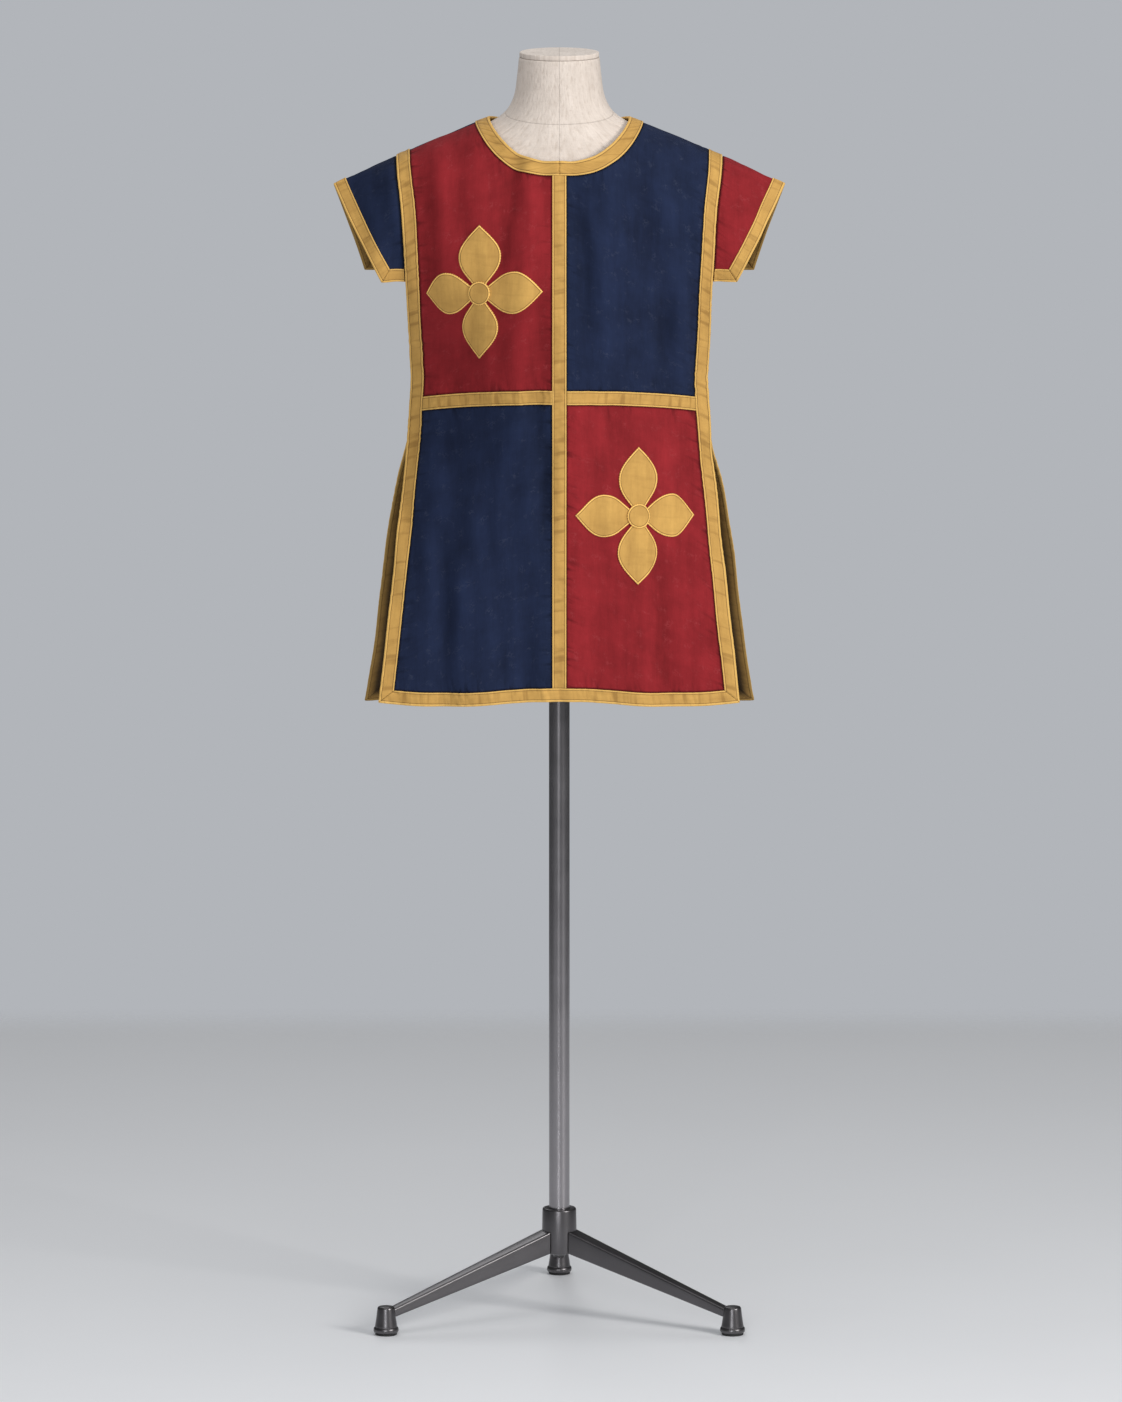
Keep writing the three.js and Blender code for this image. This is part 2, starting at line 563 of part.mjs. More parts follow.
function petalOutline(tip) {
  const { root, rootHalf, belly, bellyHalf, tipHalf } = PETAL;
  const rise = new THREE.CubicBezierCurve(
    new THREE.Vector2(root, rootHalf),
    new THREE.Vector2(lerp(root, belly, 0.3), lerp(rootHalf, bellyHalf, 0.4)),
    new THREE.Vector2(lerp(root, belly, 0.55), bellyHalf),
    new THREE.Vector2(belly, bellyHalf),
  );
  const fall = new THREE.CubicBezierCurve(
    new THREE.Vector2(belly, bellyHalf),
    new THREE.Vector2(lerp(belly, tip, 0.42), bellyHalf),
    new THREE.Vector2(lerp(belly, tip, 0.72), bellyHalf * 0.4),
    new THREE.Vector2(tip, tipHalf),
  );
  const edge = [...rise.getPoints(4), ...fall.getPoints(5).slice(1)];
  return [...edge.map(({ x, y }) => new THREE.Vector2(x, -y)), ...edge.toReversed()];
}

const roundOutline = (radius, count) =>
  steps(count)
    .slice(1)
    .map((t) => 2 * Math.PI * t)
    .map((angle) => new THREE.Vector2(radius * Math.cos(angle), radius * Math.sin(angle)));

// A patch cut from a layer over a front quarter. The outline is measured along the cloth, across and
// up from the flower's centre.
function applique(layer, flower, outline) {
  const slopeAt = (x, z) => {
    const length = -lengthTo(ridgeAt(x) - z);
    return (surfacePoint(x + 2, length).y - surfacePoint(x - 2, length).y) / 4;
  };
  const ring = (y) =>
    outline.map(({ x: across, y: up }) => {
      const z = flower.z + up + flower.droop * across;
      const shrink = Math.hypot(1, slopeAt(flower.x + across / 2, z));
      return new THREE.Vector3(flower.x + across / shrink, y, z);
    });
  const prism = loft([ring(-220), ring(-40)], filled(outline.map(({ x, y }) => [x, y])));
  return asGeometry(asSolid(layer).intersect(asSolid(prism)));
}

// ---------------------------------------------------------------- form and stand

const signedPower = (t, power) => Math.sign(t) * Math.abs(t) ** power;

function superellipse({ half, front, back, power, z }) {
  return steps(FORM_SEGMENTS).slice(1).map((t) => {
    const c = Math.cos(2 * Math.PI * t);
    const s = Math.sin(2 * Math.PI * t);
    const depth = s < 0 ? front : back;
    return new THREE.Vector3(half * signedPower(c, 2 / power), depth * signedPower(s, 2 / power), z);
  });
}

const lofted = (sections) =>
  loft(
    sections.map(superellipse),
    filled(roundOutline(1, FORM_SEGMENTS).map(({ x, y }) => [x, y])),
  );

const inset = (section, distance, z) => ({
  ...section,
  half: section.half - distance,
  front: section.front - distance,
  back: section.back - distance,
  z,
});

function neckCap() {
  const cap = { half: NECK_CAP.halfWidth, front: NECK_CAP.front, back: NECK_CAP.back, power: 2 };
  const bottom = FORM_SECTIONS.at(-1).z + GAP;
  const top = bottom + NECK_CAP.thickness;
  return lofted([
    inset(cap, 1, bottom),
    inset(cap, 0, bottom + 1),
    inset(cap, 0, top - 2),
    inset(cap, 2, top),
  ]);
}

function formBase() {
  const base = FORM_SECTIONS[0];
  const top = base.z - GAP;
  const bottom = top - FORM_BASE;
  return lofted([inset(base, 6, bottom), inset(base, 4, bottom + 2), inset(base, 4, top)]);
}

// A solid turned about the Z axis from an outline of radii and heights.
function turnedSolid(outline, segments) {
  const points = outline.map(({ radius, z }) => new THREE.Vector2(radius, z));
  const lathe = new THREE.LatheGeometry(points, segments).rotateX(Math.PI / 2);
  const { position } = lathe.attributes;
  const corner = (i) => new THREE.Vector3().fromBufferAttribute(position, i);
  const corners = Array.from({ length: position.count }, (_, i) => corner(i));
  return closedMesh(corners, Array.from(lathe.index.array));
}

const closedTurning = (outline, segments) =>
  turnedSolid([{ radius: 0, z: outline[0].z }, ...outline, { radius: 0, z: outline.at(-1).z }], segments);

const disc = (radius, bottom, top, segments) =>
  closedTurning([{ radius, z: bottom }, { radius, z: top }], segments);

function hub() {
  const bore = POLE_RADIUS + GAP;
  const outline = [
    { radius: HUB.radius - 2, z: HUB.bottom },
    { radius: HUB.radius, z: HUB.bottom + 2 },
    { radius: HUB.radius, z: LEG_ROOT.top },
    { radius: HUB.radius - 0.6, z: HUB.top - 1.5 },
    { radius: HUB.radius - 2, z: HUB.top },
    { radius: bore, z: HUB.top },
    { radius: bore, z: HUB.socketFloor },
  ];
  return closedTurning(outline, 30);
}

function footCentre(degrees) {
  const angle = THREE.MathUtils.degToRad(degrees);
  return new THREE.Vector3(LEG.reach * Math.cos(angle), LEG.reach * Math.sin(angle), 0);
}

// A tapering leg along +X with bevelled edges, cut to fit the hub and the foot.
function leg() {
  const section = (radius, { top, bottom, width }) => {
    const bevel = LEG.bevel;
    const half = width / 2;
    return [
      [-half, bottom + bevel],
      [-half + bevel, bottom],
      [half - bevel, bottom],
      [half, bottom + bevel],
      [half, top - bevel],
      [half - bevel, top],
      [-half + bevel, top],
      [-half, top - bevel],
    ].map(([y, z]) => new THREE.Vector3(radius, y, z));
  };
  const root = section(LEG.rootRadius, LEG_ROOT);
  const bar = loft([root, section(LEG.tipRadius, LEG_TIP)], filled(root.map(({ y, z }) => [y, z])));
  const hubCutter = disc(HUB.radius + GAP, HUB.bottom - 10, HUB.top, 30);
  const clearance = FOOT_OUTLINE.map(({ radius, z }) => ({ radius: radius + GAP + 0.1, z }));
  const footCutter = closedTurning(clearance, 24).translate(LEG.reach, 0, 0);
  return asGeometry(asSolid(bar).subtract(asSolid(hubCutter)).subtract(asSolid(footCutter)));
}

// ---------------------------------------------------------------- assembly

const SIDES = [
  { name: "right", side: RIGHT },
  { name: "left", side: LEFT },
];

const tabardOnForm = new THREE.Group();
tabardOnForm.position.y = -POLE_SETBACK;

function add(name, geometry, material) {
  const mesh = new THREE.Mesh(geometry, material.clone());
  mesh.name = name;
  tabardOnForm.add(mesh);
  return mesh;
}

function addPanels() {
  const { upper, lower, back } = LAYOUT;
  add("front_upper_right", panel(upper[RIGHT].rows, upper[RIGHT].neck), MADDER_RED);
  add("front_upper_left", panel(upper[LEFT].rows, upper[LEFT].neck), NAVY_BLUE);
  add("front_lower_right", panel(lower[RIGHT].rows), NAVY_BLUE);
  add("front_lower_left", panel(lower[LEFT].rows), MADDER_RED);
  const halves = [back[RIGHT].rows, back[RIGHT].neck, back[LEFT].rows, back[LEFT].neck];
  add("back", panel(...halves), NAVY_BLUE);
  add("wing_right", panel(wingRows(RIGHT, FRONT), wingRows(RIGHT, BACK)), NAVY_BLUE);
  add("wing_left", panel(wingRows(LEFT, FRONT), wingRows(LEFT, BACK)), MADDER_RED);
}

function addBodyBindings() {
  const { upper, lower, back } = LAYOUT;
  add("neck_binding", binding(neckStations(), true), OLD_GOLD);
  for (const { name, side } of SIDES) {
    const front = [...upper[side].rows, ...lower[side].rows];
    add(`front_side_binding_${name}`, binding(sideStations(front)), OLD_GOLD);
    add(`back_side_binding_${name}`, binding(sideStations(back[side].rows)), OLD_GOLD);
  }
  for (const [name, halves] of Object.entries({ front: lower, back })) {
    const right = backwards(hemStations(halves[RIGHT].rows));
    const left = hemStations(halves[LEFT].rows);
    const joined = name === "back" ? right.slice(0, -1) : right;
    add(`${name}_hem_binding`, binding([...joined, ...left]), OLD_GOLD);
  }
}

function addWingBindings() {
  for (const { name, side } of SIDES) {
    const front = wingRows(side, FRONT);
    const back = wingRows(side, BACK);
    const edge = [...backwards(sideStations(front)).slice(0, -1), ...sideStations(back)];
    add(`wing_edge_binding_${name}`, binding(edge), OLD_GOLD);
    add(`wing_front_hem_${name}`, binding(hemStations(front)), OLD_GOLD);
    add(`wing_back_hem_${name}`, binding(hemStations(back)), OLD_GOLD);
  }
}

// The band down the centre front and the two cross bands that meet it.
function addFrontBands() {
  const { upper, lower } = LAYOUT;
  const rowsOf = (side) => [...upper[side].rows, ...lower[side].rows.slice(0, -1)];
  const column = (side, index) => rowsOf(side).map((row) => row[index]);
  const shortened = (places) => {
    const top = { ...places[0], length: places[0].length - GAP };
    const bottom = { ...places.at(-1), length: places.at(-1).length + GAP };
    return [top, ...places.slice(1, -1), bottom];
  };
  const strip = (...columns) => {
    const ends = columns.map(shortened);
    return ends[0].map((_, row) => ends.map((places) => places[row]));
  };
  const centre = SIDES.map(({ side }) => strip(column(side, 0), column(side, 1)));
  const middle = strip(column(RIGHT, 0), column(LEFT, 0));
  add("centre_band", flatBand(...centre, middle), OLD_GOLD);
  for (const { name, side } of SIDES) {
    const rows = [...upper[side].rows.slice(-2), ...lower[side].rows.slice(0, 2)];
    const cross = rows.map((row) => {
      const places = row.slice(1, INNER_COLUMN + 1);
      const start = { ...places[0], x: places[0].x + side * GAP };
      const end = { ...places.at(-1), x: places.at(-1).x - side * GAP };
      return [start, ...places.slice(1, -1), end];
    });
    add(`cross_band_${name}`, flatBand(cross), OLD_GOLD);
  }
}

function addFlowers() {
  const eye = roundOutline(FLOWER_EYE, 20);
  for (const flower of FLOWERS) {
    const quarter = (flower.name === "flower_upper" ? LAYOUT.upper : LAYOUT.lower)[flower.side].rows;
    const petals = clothWall([quarter], UNDER_TAPE, UNDER_TAPE + APPLIQUE);
    const top = UNDER_TAPE + APPLIQUE + GAP;
    for (const [name, degrees] of Object.entries(PETALS)) {
      const angle = THREE.MathUtils.degToRad(degrees);
      const petal = petalOutline(degrees % 180 === 0 ? PETAL_TIP.level : PETAL_TIP.upright);
      const outline = petal.map((point) => point.clone().rotateAround(new THREE.Vector2(), angle));
      add(`${flower.name}_petal_${name}`, applique(petals, flower, outline), OLD_GOLD);
    }
    add(`${flower.name}_eye`, applique(clothWall([quarter], top, top + APPLIQUE), flower, eye), OLD_GOLD);
  }
}

function addFormAndStand() {
  add("form_torso", lofted(FORM_SECTIONS), LINEN);
  add("form_neck_cap", neckCap(), LINEN);
  add("form_base", formBase(), LINEN);
  const poleTop = FORM_SECTIONS[0].z - FORM_BASE - 2 * GAP;
  add("pole", disc(POLE_RADIUS, HUB.socketFloor + GAP, poleTop, 28), GUNMETAL);
  add("hub", hub(), GUNMETAL);
  for (const [name, degrees] of Object.entries(LEG_ANGLES)) {
    const centre = footCentre(degrees);
    add(`leg_${name}`, leg(), GUNMETAL).rotation.z = THREE.MathUtils.degToRad(degrees);
    add(`foot_${name}`, closedTurning(FOOT_OUTLINE, 24), GUNMETAL).position.copy(centre);
    const pad = disc(FOOT_PAD.radius, 0, FOOT_PAD.height, 24);
    add(`foot_pad_${name}`, pad, BLACK_RUBBER).position.copy(centre);
  }
}

addPanels();
addBodyBindings();
addWingBindings();
addFrontBands();
addFlowers();
addFormAndStand();

export default tabardOnForm;
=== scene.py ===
import math

import bmesh
import bpy
import numpy as np
from mathutils import Matrix, Vector


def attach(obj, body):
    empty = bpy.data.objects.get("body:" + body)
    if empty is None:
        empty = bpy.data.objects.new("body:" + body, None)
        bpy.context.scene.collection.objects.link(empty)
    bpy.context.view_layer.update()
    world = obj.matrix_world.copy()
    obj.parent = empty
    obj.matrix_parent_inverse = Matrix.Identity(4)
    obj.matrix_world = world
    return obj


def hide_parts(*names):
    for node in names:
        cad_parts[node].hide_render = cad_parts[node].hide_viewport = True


bl_info = {
    "name": "Quartered tabard",
    "version": (1, 0, 0),
    "blender": (4, 5, 0),
    "location": "View3D > Sidebar > Tabard",
    "description": "A quartered tabard on a limbless dress form with a three-legged stand",
    "category": "Object",
}

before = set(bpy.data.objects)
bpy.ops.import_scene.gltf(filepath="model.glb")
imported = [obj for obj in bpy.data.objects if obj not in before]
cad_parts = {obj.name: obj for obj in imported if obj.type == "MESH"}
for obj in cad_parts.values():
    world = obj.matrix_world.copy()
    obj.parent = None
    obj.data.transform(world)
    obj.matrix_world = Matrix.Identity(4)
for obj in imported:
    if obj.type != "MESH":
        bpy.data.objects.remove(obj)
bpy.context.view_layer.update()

# ---------------------------------------------------------------- driving sizes, in millimetres

MM = 0.001
FRONT, BACK = -1, 1  # the garment's faces, as the sign of their depth
RIGHT, LEFT = -1, 1  # the wearer's right and left, as the sign of x
FACES = {"front": FRONT, "back": BACK}
SIDES = {"right": RIGHT, "left": LEFT}

GAP = 0.3  # between one piece and the next
BAND = 16.5  # width of a binding
FOLD_OUT = 0.8  # how far a binding's fold stands out past the edge it covers
STRIP = 17.6  # width of the flat bands
POLE_FORWARD = 65.0  # how far the pole stands in front of the footprint's middle
SHOULDER_RADIUS = 90.0  # of the cloth's turn from the ridge into its hang
SHOULDER_EDGE = 209.0  # from the centre line to a panel's side, at the ridge
RIDGE = {"apex": 1610.6, "fall": 0.3516, "steepening": 0.000222, "crown": 30.0}
# The neck's reaches are measured down the cloth. Its turn is the length round it for each radian.
NECK = {"half_width": 91.0, FRONT: 120.4, BACK: 80.0, "turn": 110.0}
WING = {
    "tip": 290.0, "corner_x": 228.6, "corner_z": 1371.8, "hem": 16.2, "spread": 81.0, "fold": 150.0,
}
BACK_FLARE = 23.0  # how much further out a wing's back corner hangs
WING_SEAM = 2.2  # from the panel's edge to the wing's
CROSS_SEAM = {"middle_z": 1229.1, "sag": 23.3, "at_x": 178.0}
HEMS = {
    FRONT: {"z": 829.6, "swing": 4.8, "wavelength": 340.0},
    BACK: {"z": 799.5, "swing": 2.5, "wavelength": 300.0},
}


def table(columns, rows):
    """A table's named columns, as arrays."""
    return {name: np.array([row[i] for row in rows], float) for i, name in enumerate(columns)}


SECTIONS = {
    FRONT: table(("z", "edge", "edge_depth", "middle_depth"), [
        (822, 232.5, 95, 128),
        (933, 220, 79, 128),
        (1016, 211, 57, 129),
        (1097, 202, 29, 129),
        (1152, 196, 6, 127),
        (1165, 194.9, 4, 126.6),
        (1235, 190.5, 3.5, 125),
        (1258, 191.6, 3.8, 126),
        (1271, 192.2, 6, 127),
        (1320, 194.6, 33, 131),
        (1370, 196.8, 60, 134),
        (1421, 199.5, 71, 129),
        (1472, 202.9, 75, 118),
        (1526, 209, 76, 103),
        (1576, 209, 76, 96),
    ]),
    BACK: table(("z", "edge", "edge_depth", "middle_depth"), [
        (795, 254, 88, 121),
        (869, 241.5, 78, 118),
        (947, 232, 63, 115),
        (1025, 222.5, 43, 112),
        (1104, 209, 21, 109),
        (1152, 196, 6, 108),
        (1165, 194.9, 4, 108.2),
        (1235, 190.5, 3.5, 109),
        (1258, 191.6, 3.8, 110.8),
        (1271, 192.2, 6, 112),
        (1320, 194.6, 33, 116),
        (1370, 196.8, 58, 119),
        (1421, 199.5, 66, 117),
        (1472, 202.9, 70, 109),
        (1526, 209, 72, 94),
        (1576, 209, 72, 84),
    ]),
}
FOLDS = {
    FRONT: table(("x", "width", "depth", "top", "grow"), [
        (-150, 20, -4, 1190, 220),
        (-104, 22, 4, 1150, 260),
        (-52, 18, -3.5, 1180, 300),
        (44, 18, -3, 1120, 260),
        (98, 24, 4, 1160, 280),
        (158, 20, -4.5, 1170, 200),
    ]),
    BACK: table(("x", "width", "depth", "top", "grow"), [
        (-172, 22, -5, 1180, 240),
        (-118, 26, 6, 1210, 260),
        (-60, 24, -5, 1230, 300),
        (6, 28, 5, 1260, 320),
        (66, 22, -5.5, 1190, 280),
        (128, 26, 5, 1220, 240),
        (184, 20, -4, 1160, 220),
    ]),
}
# Softer creases: the middle of each, how far it leans sideways for each step down, how wide and
# how long it is, and how far it stands out.
CREASES = {
    FRONT: table(("x", "z", "lean", "width", "reach", "height"), [
        (-168, 1440, 0.10, 13, 90, -1.5),
        (-146, 1400, 0.06, 15, 130, 1.3),
        (-66, 1470, -0.16, 12, 90, -1.4),
        (-38, 1400, -0.05, 14, 120, 1.2),
        (-24, 1310, 0.04, 12, 90, -1.1),
        (-128, 1280, 0.05, 14, 70, -1.0),
        (30, 1420, 0.06, 14, 120, -1.3),
        (62, 1380, 0.02, 16, 130, 1.2),
        (112, 1450, 0.12, 14, 110, -1.4),
        (150, 1360, 0.10, 14, 120, 1.4),
        (136, 1290, -0.10, 13, 80, -1.2),
        (-160, 1120, -0.03, 14, 110, 1.2),
        (-76, 1090, -0.02, 13, 130, 1.0),
        (-24, 1140, 0.05, 13, 90, -1.2),
        (24, 1180, -0.03, 13, 90, 1.2),
        (70, 1190, 0.02, 13, 70, -1.0),
        (138, 1140, 0.06, 14, 110, 1.3),
        (28, 960, 0.04, 13, 120, 1.1),
        (132, 930, 0.08, 13, 100, -1.2),
        (-128, 940, -0.07, 14, 110, 1.0),
    ]),
    BACK: table(("x", "z", "lean", "width", "reach", "height"), [
        (-150, 1420, 0.12, 15, 110, -1.4),
        (-96, 1450, 0.05, 15, 120, 1.3),
        (-42, 1420, -0.06, 14, 130, -1.2),
        (22, 1440, 0.03, 15, 120, 1.2),
        (74, 1410, 0.08, 14, 120, -1.4),
        (132, 1430, -0.08, 15, 110, 1.3),
        (-30, 1180, 0.04, 14, 120, 1.2),
        (96, 1100, 0.05, 14, 120, -1.3),
        (-140, 1010, -0.08, 15, 120, 1.2),
        (40, 960, 0.06, 14, 110, -1.2),
    ]),
}
# Fine ripples: height, pitch, share of the sway, start, and how they come and go down and across.
RIPPLES = ((0.45, 5.6, 1.0, 0.0, 57, 40), (0.5, 9.1, -0.7, 1.3, 83, -60))
PUCKER = {"pitch": 14.0, "reach": 11.0, "most": 1.3}

FORM = table(("z", "half", "front", "back", "power"), [
    (868, 170, 100, 92, 2.2),
    (940, 172, 102, 94, 2.2),
    (1020, 165, 100, 90, 2.2),
    (1100, 150, 95, 82, 2.1),
    (1180, 139, 93, 77, 2.1),
    (1260, 143, 99, 83, 2.1),
    (1340, 161, 110, 95, 2.1),
    (1400, 178, 110, 101, 2.1),
    (1440, 189, 106, 99, 2.1),
    (1480, 198, 99, 92, 2.1),
    (1503, 202, 94, 85, 2.0),
    (1518, 200, 90, 80, 1.8),
    (1530, 190, 86, 75, 1.7),
    (1542, 165, 81, 71, 1.65),
    (1553, 137, 75, 67, 1.65),
    (1562, 111, 69, 64, 1.75),
    (1570, 91, 65, 61, 1.85),
    (1579, 76, 61, 58, 1.95),
    (1590, 65.5, 57, 56, 2),
    (1607, 58, 53, 54, 2),
    (1630, 54.5, 50, 53, 2),
    (1655, 52, 48, 52, 2),
])

PETAL = {"root": 11.0, "root_half": 8.5, "belly": 47.0, "belly_half": 27.3}
PETAL_TIP = {"level": 84.4, "upright": 87.8}
EYE_RADIUS = 15.4
FLOWERS = {
    "flower_upper": {"x": -102.0, "z": 1363.0, "droop": 0.06},
    "flower_lower": {"x": 101.2, "z": 1072.0, "droop": -0.06},
}
PETALS = {"left": 0, "up": 90, "right": 180, "down": 270}
# The rolled rim and the sunk seam of a sewn piece: how far from its edge, how wide and how high.
SEWN_RELIEF = ((0.8, 0.6, 0.16), (2.1, 0.5, -0.26))
# A stitch's place and its half sizes. Its half length is a share of the pitch.
STITCH = {"inset": 2.15, "sunk": 0.12, "length": 0.36, "width": 0.32, "height": 0.26}

FORM_TURN = 75.0  # the length round the form's cover for each radian
COLLAR_SEAM = {"z": 1585.0, "tilt": 10.0}
CAP = {"half": 51.4, FRONT: 47.5, BACK: 51.5, "bottom": 1655.3, "thickness": 6.5, "rim": 1.4}
POLE = {"radius": 13.4, "bottom": 118.3, "top": 859.4, "chamfer": 0.6}
HUB = {"top": 142.0, "bottom": 83.0, "radius": 22.6, "floor": 118.0, "shoulder": 113.0}
LEG = {"reach": 260.0, "root": 20.8, "tip": 251.0, "bevel": 2.56}
LEG_ROOT = {"top": 113.0, "bottom": 83.5, "width": 24.0}
LEG_TIP = {"top": 34.5, "bottom": 22.5, "width": 14.5}
LEG_ANGLES = {"back": 90, "right": 210, "left": 330}
# A foot's and a pad's outlines, as radii and heights.
FOOT_OUTLINE = (
    (0, 2.8), (14.4, 2.8), (15.6, 3.6), (16.3, 5.2), (16.4, 6.8), (16.1, 8.6), (15.2, 10.0),
    (14.5, 10.6), (14.5, 11.4), (14.2, 13.0), (12.4, 25.0), (11.3, 34.2), (10.9, 35.8),
    (9.9, 36.9), (8.6, 37.2), (0, 37.2),
)
PAD_OUTLINE = ((0, 0), (13.6, 0), (14.2, 0.6), (14.2, 2.5), (0, 2.5))

# Each light's place, width and height in metres, and its colour.
LIGHTS = {
    "key": ((4.6, -4.0, 3.2), (2.0, 2.0), (1.0, 0.985, 0.96)),
    "front": ((-0.9, -7.5, 2.2), (1.8, 3.4), (0.97, 0.985, 1.0)),
    "rear": ((-1.2, 5.5, 5.0), (3.0, 3.0), (0.98, 0.99, 1.0)),
    "top": ((0.0, -0.6, 4.8), (3.0, 3.0), (1.0, 1.0, 1.0)),
}
LIGHTS_AIM = (0, -0.06, 0.95)


def hex_colour(code):
    """A colour from its six sRGB digits, as linear values."""
    values = [int(code[i : i + 2], 16) / 255 for i in (0, 2, 4)]
    return tuple(v / 12.92 if v <= 0.04045 else ((v + 0.055) / 1.055) ** 2.4 for v in values)


# ---------------------------------------------------------------- the cloth's surface


def lerp(a, b, t):
    return a + (b - a) * t


def smoothstep(x, low, high):
    t = np.clip((x - low) / (high - low), 0, 1)
    return t * t * (3 - 2 * t)


def read_table(rows, column, z):
    """A smooth curve through one column of a table, read at z."""
    levels, values = rows["z"], rows[column]
    z = np.clip(z, levels[0], levels[-1])
    i = np.searchsorted(levels[1:-1], z, side="left")
    low = np.maximum(np.arange(len(levels)) - 1, 0)
    high = np.minimum(np.arange(len(levels)) + 1, len(levels) - 1)
    slopes = (values[high] - values[low]) / (levels[high] - levels[low])
    span = levels[i + 1] - levels[i]
    t = (z - levels[i]) / span
    between = lerp(values[i], values[i + 1], t * t * (3 - 2 * t))
    return between + span * t * (1 - t) * ((1 - t) * slopes[i] - t * slopes[i + 1])


def edge_at(z, face):
    return read_table(SECTIONS[face], "edge", z)


def ridge_at(x):
    crown = RIDGE["fall"] * np.hypot(x, RIDGE["crown"])
    return RIDGE["apex"] - crown - RIDGE["steepening"] * x * x


def drop_after(length):
    """How far a stretch of cloth from the ridge reaches down."""
    roll = np.minimum(length / SHOULDER_RADIUS, math.pi / 2)
    straight = np.maximum(length - SHOULDER_RADIUS * math.pi / 2, 0)
    return SHOULDER_RADIUS * (1 - np.cos(roll)) + straight


def length_to(drop):
    """The length of cloth that reaches down by drop."""
    rolled = np.arccos(1 - np.clip(drop / SHOULDER_RADIUS, 0, 1))
    return SHOULDER_RADIUS * rolled + np.maximum(drop - SHOULDER_RADIUS, 0)


def cross_seam(x):
    return CROSS_SEAM["middle_z"] - CROSS_SEAM["sag"] * (x / CROSS_SEAM["at_x"]) ** 2


def hemline(x, face):
    hem = HEMS[face]
    return hem["z"] + hem["swing"] * np.cos(2 * math.pi * x / hem["wavelength"])


def fold_depth(x, z, face):
    """How far the largest folds stand out."""
    depth = np.zeros_like(x)
    for fx, width, height, top, grow in zip(*FOLDS[face].values()):
        depth += height * np.exp(-(((x - fx) / width) ** 2)) * smoothstep(top - z, 0, grow)
    return depth


def middle_surface(x, length):
    """Points of the cloth's middle surface, without its finer relief."""
    drop = drop_after(np.abs(length))
    z = ridge_at(x) - drop
    rolled = np.sin(np.minimum(np.abs(length) / SHOULDER_RADIUS, math.pi / 2))
    folded = np.sin(np.clip(drop / WING["fold"], 0, 1) * math.pi / 2)
    depth = {}
    for face in (FRONT, BACK):
        edge = edge_at(z, face)
        edge_depth = read_table(SECTIONS[face], "edge_depth", z)
        middle_depth = read_table(SECTIONS[face], "middle_depth", z)
        across = np.minimum(np.abs(x) / edge, 1.02)
        plan = edge_depth + (middle_depth - edge_depth) * np.cos(across * math.pi / 2)
        out = smoothstep(np.abs(x) - edge, 0, WING["spread"])
        depth[face] = face * (plan * lerp(rolled, folded, out) + fold_depth(x, z, face))
    return np.stack([x, np.where(length < 0, depth[FRONT], depth[BACK]), z], axis=-1)


def uneven_wave(along, pitch, seed):
    """A wave whose pitch and height wander."""
    wander = 0.35 * np.sin(along / 12.4 + seed) + 0.22 * np.sin(along / 5.7 + 2 * seed)
    height = 0.6 + 0.4 * np.sin(along / 17.3 + 3 * seed)
    return height * np.sin(2 * math.pi * (along / pitch + wander))


def neck_inset(x, length):
    """Roughly how far a place lies outside the neck's edge."""
    reach = np.where(length < 0, NECK[FRONT], NECK[BACK])
    out = np.hypot(x / NECK["half_width"], length / reach)
    return (out - 1) * np.hypot(x, length) / np.maximum(out, 0.2)


def seams_near(x, length):
    """How far a place lies outside each upright and each level band, and how far along it."""
    front = length < 0
    z = ridge_at(x) - drop_after(np.abs(length))
    edge = np.where(front, edge_at(z, FRONT), edge_at(z, BACK))
    hem = np.where(front, hemline(x, FRONT), hemline(x, BACK))
    body = np.abs(x) < edge + 1.5  # the wings lie further out
    far = 1000.0
    upright = [
        (np.where(body, edge - BAND - np.abs(x), far), z),
        (np.where(body, far, np.abs(x) - edge - WING_SEAM), z),
        (np.where(front, np.abs(x) - STRIP / 2, far), z),
    ]
    level = [
        (np.where(body, z - hem - BAND, far), x),
        (neck_inset(x, length) - BAND, np.arctan2(x, np.abs(length)) * NECK["turn"]),
        (np.where(front & body, np.abs(z - cross_seam(x)) - STRIP / 2, far), x),
    ]
    return upright, level


def puckers(x, length):
    """Small puckers across each band and on the cloth close beside it."""
    total = np.zeros_like(x)
    for seed, (away, along) in enumerate(sum(seams_near(x, length), [])):
        beside, under = np.exp(-away / PUCKER["reach"]), np.exp(-(((away + 6) / 22) ** 2))
        wave = uneven_wave(along + 0.5 * away, PUCKER["pitch"], 1.3 * seed + (x < 0))
        total += np.where(away > 0, beside, under) * wave
    return np.clip(total, -PUCKER["most"], PUCKER["most"])


def closeness(seams):
    """How close places are to the nearest of some seams: 1 at a band's edge, and 0 far from it."""
    away = np.min([np.maximum(out, 0) for out, _ in seams], axis=0)
    return np.exp(-(away / 10.0))


def creases(x, z, face):
    """Soft creases of the cloth, before their depth is applied."""
    total = np.zeros_like(x)
    for cx, cz, lean, width, reach, height in zip(*CREASES[face].values()):
        across = (x - cx - lean * (cz - z)) / width
        along = (z - cz) / reach
        total += 1.6 * height * np.exp(-(across**2) - along**2)
    sway = 9 * np.sin(z / 71 + face) + 5 * np.sin(z / 33)
    for height, pitch, share, start, fade_z, fade_x in RIPPLES:
        fading = 0.6 + 0.4 * np.sin(z / fade_z + x / fade_x)
        total += height * np.sin((x + share * sway) / pitch + start) * fading
    return total + 0.35 * np.sin(z / 17 + 0.8 * np.sin(x / 23)) * np.sin(x / 29 + 0.4)


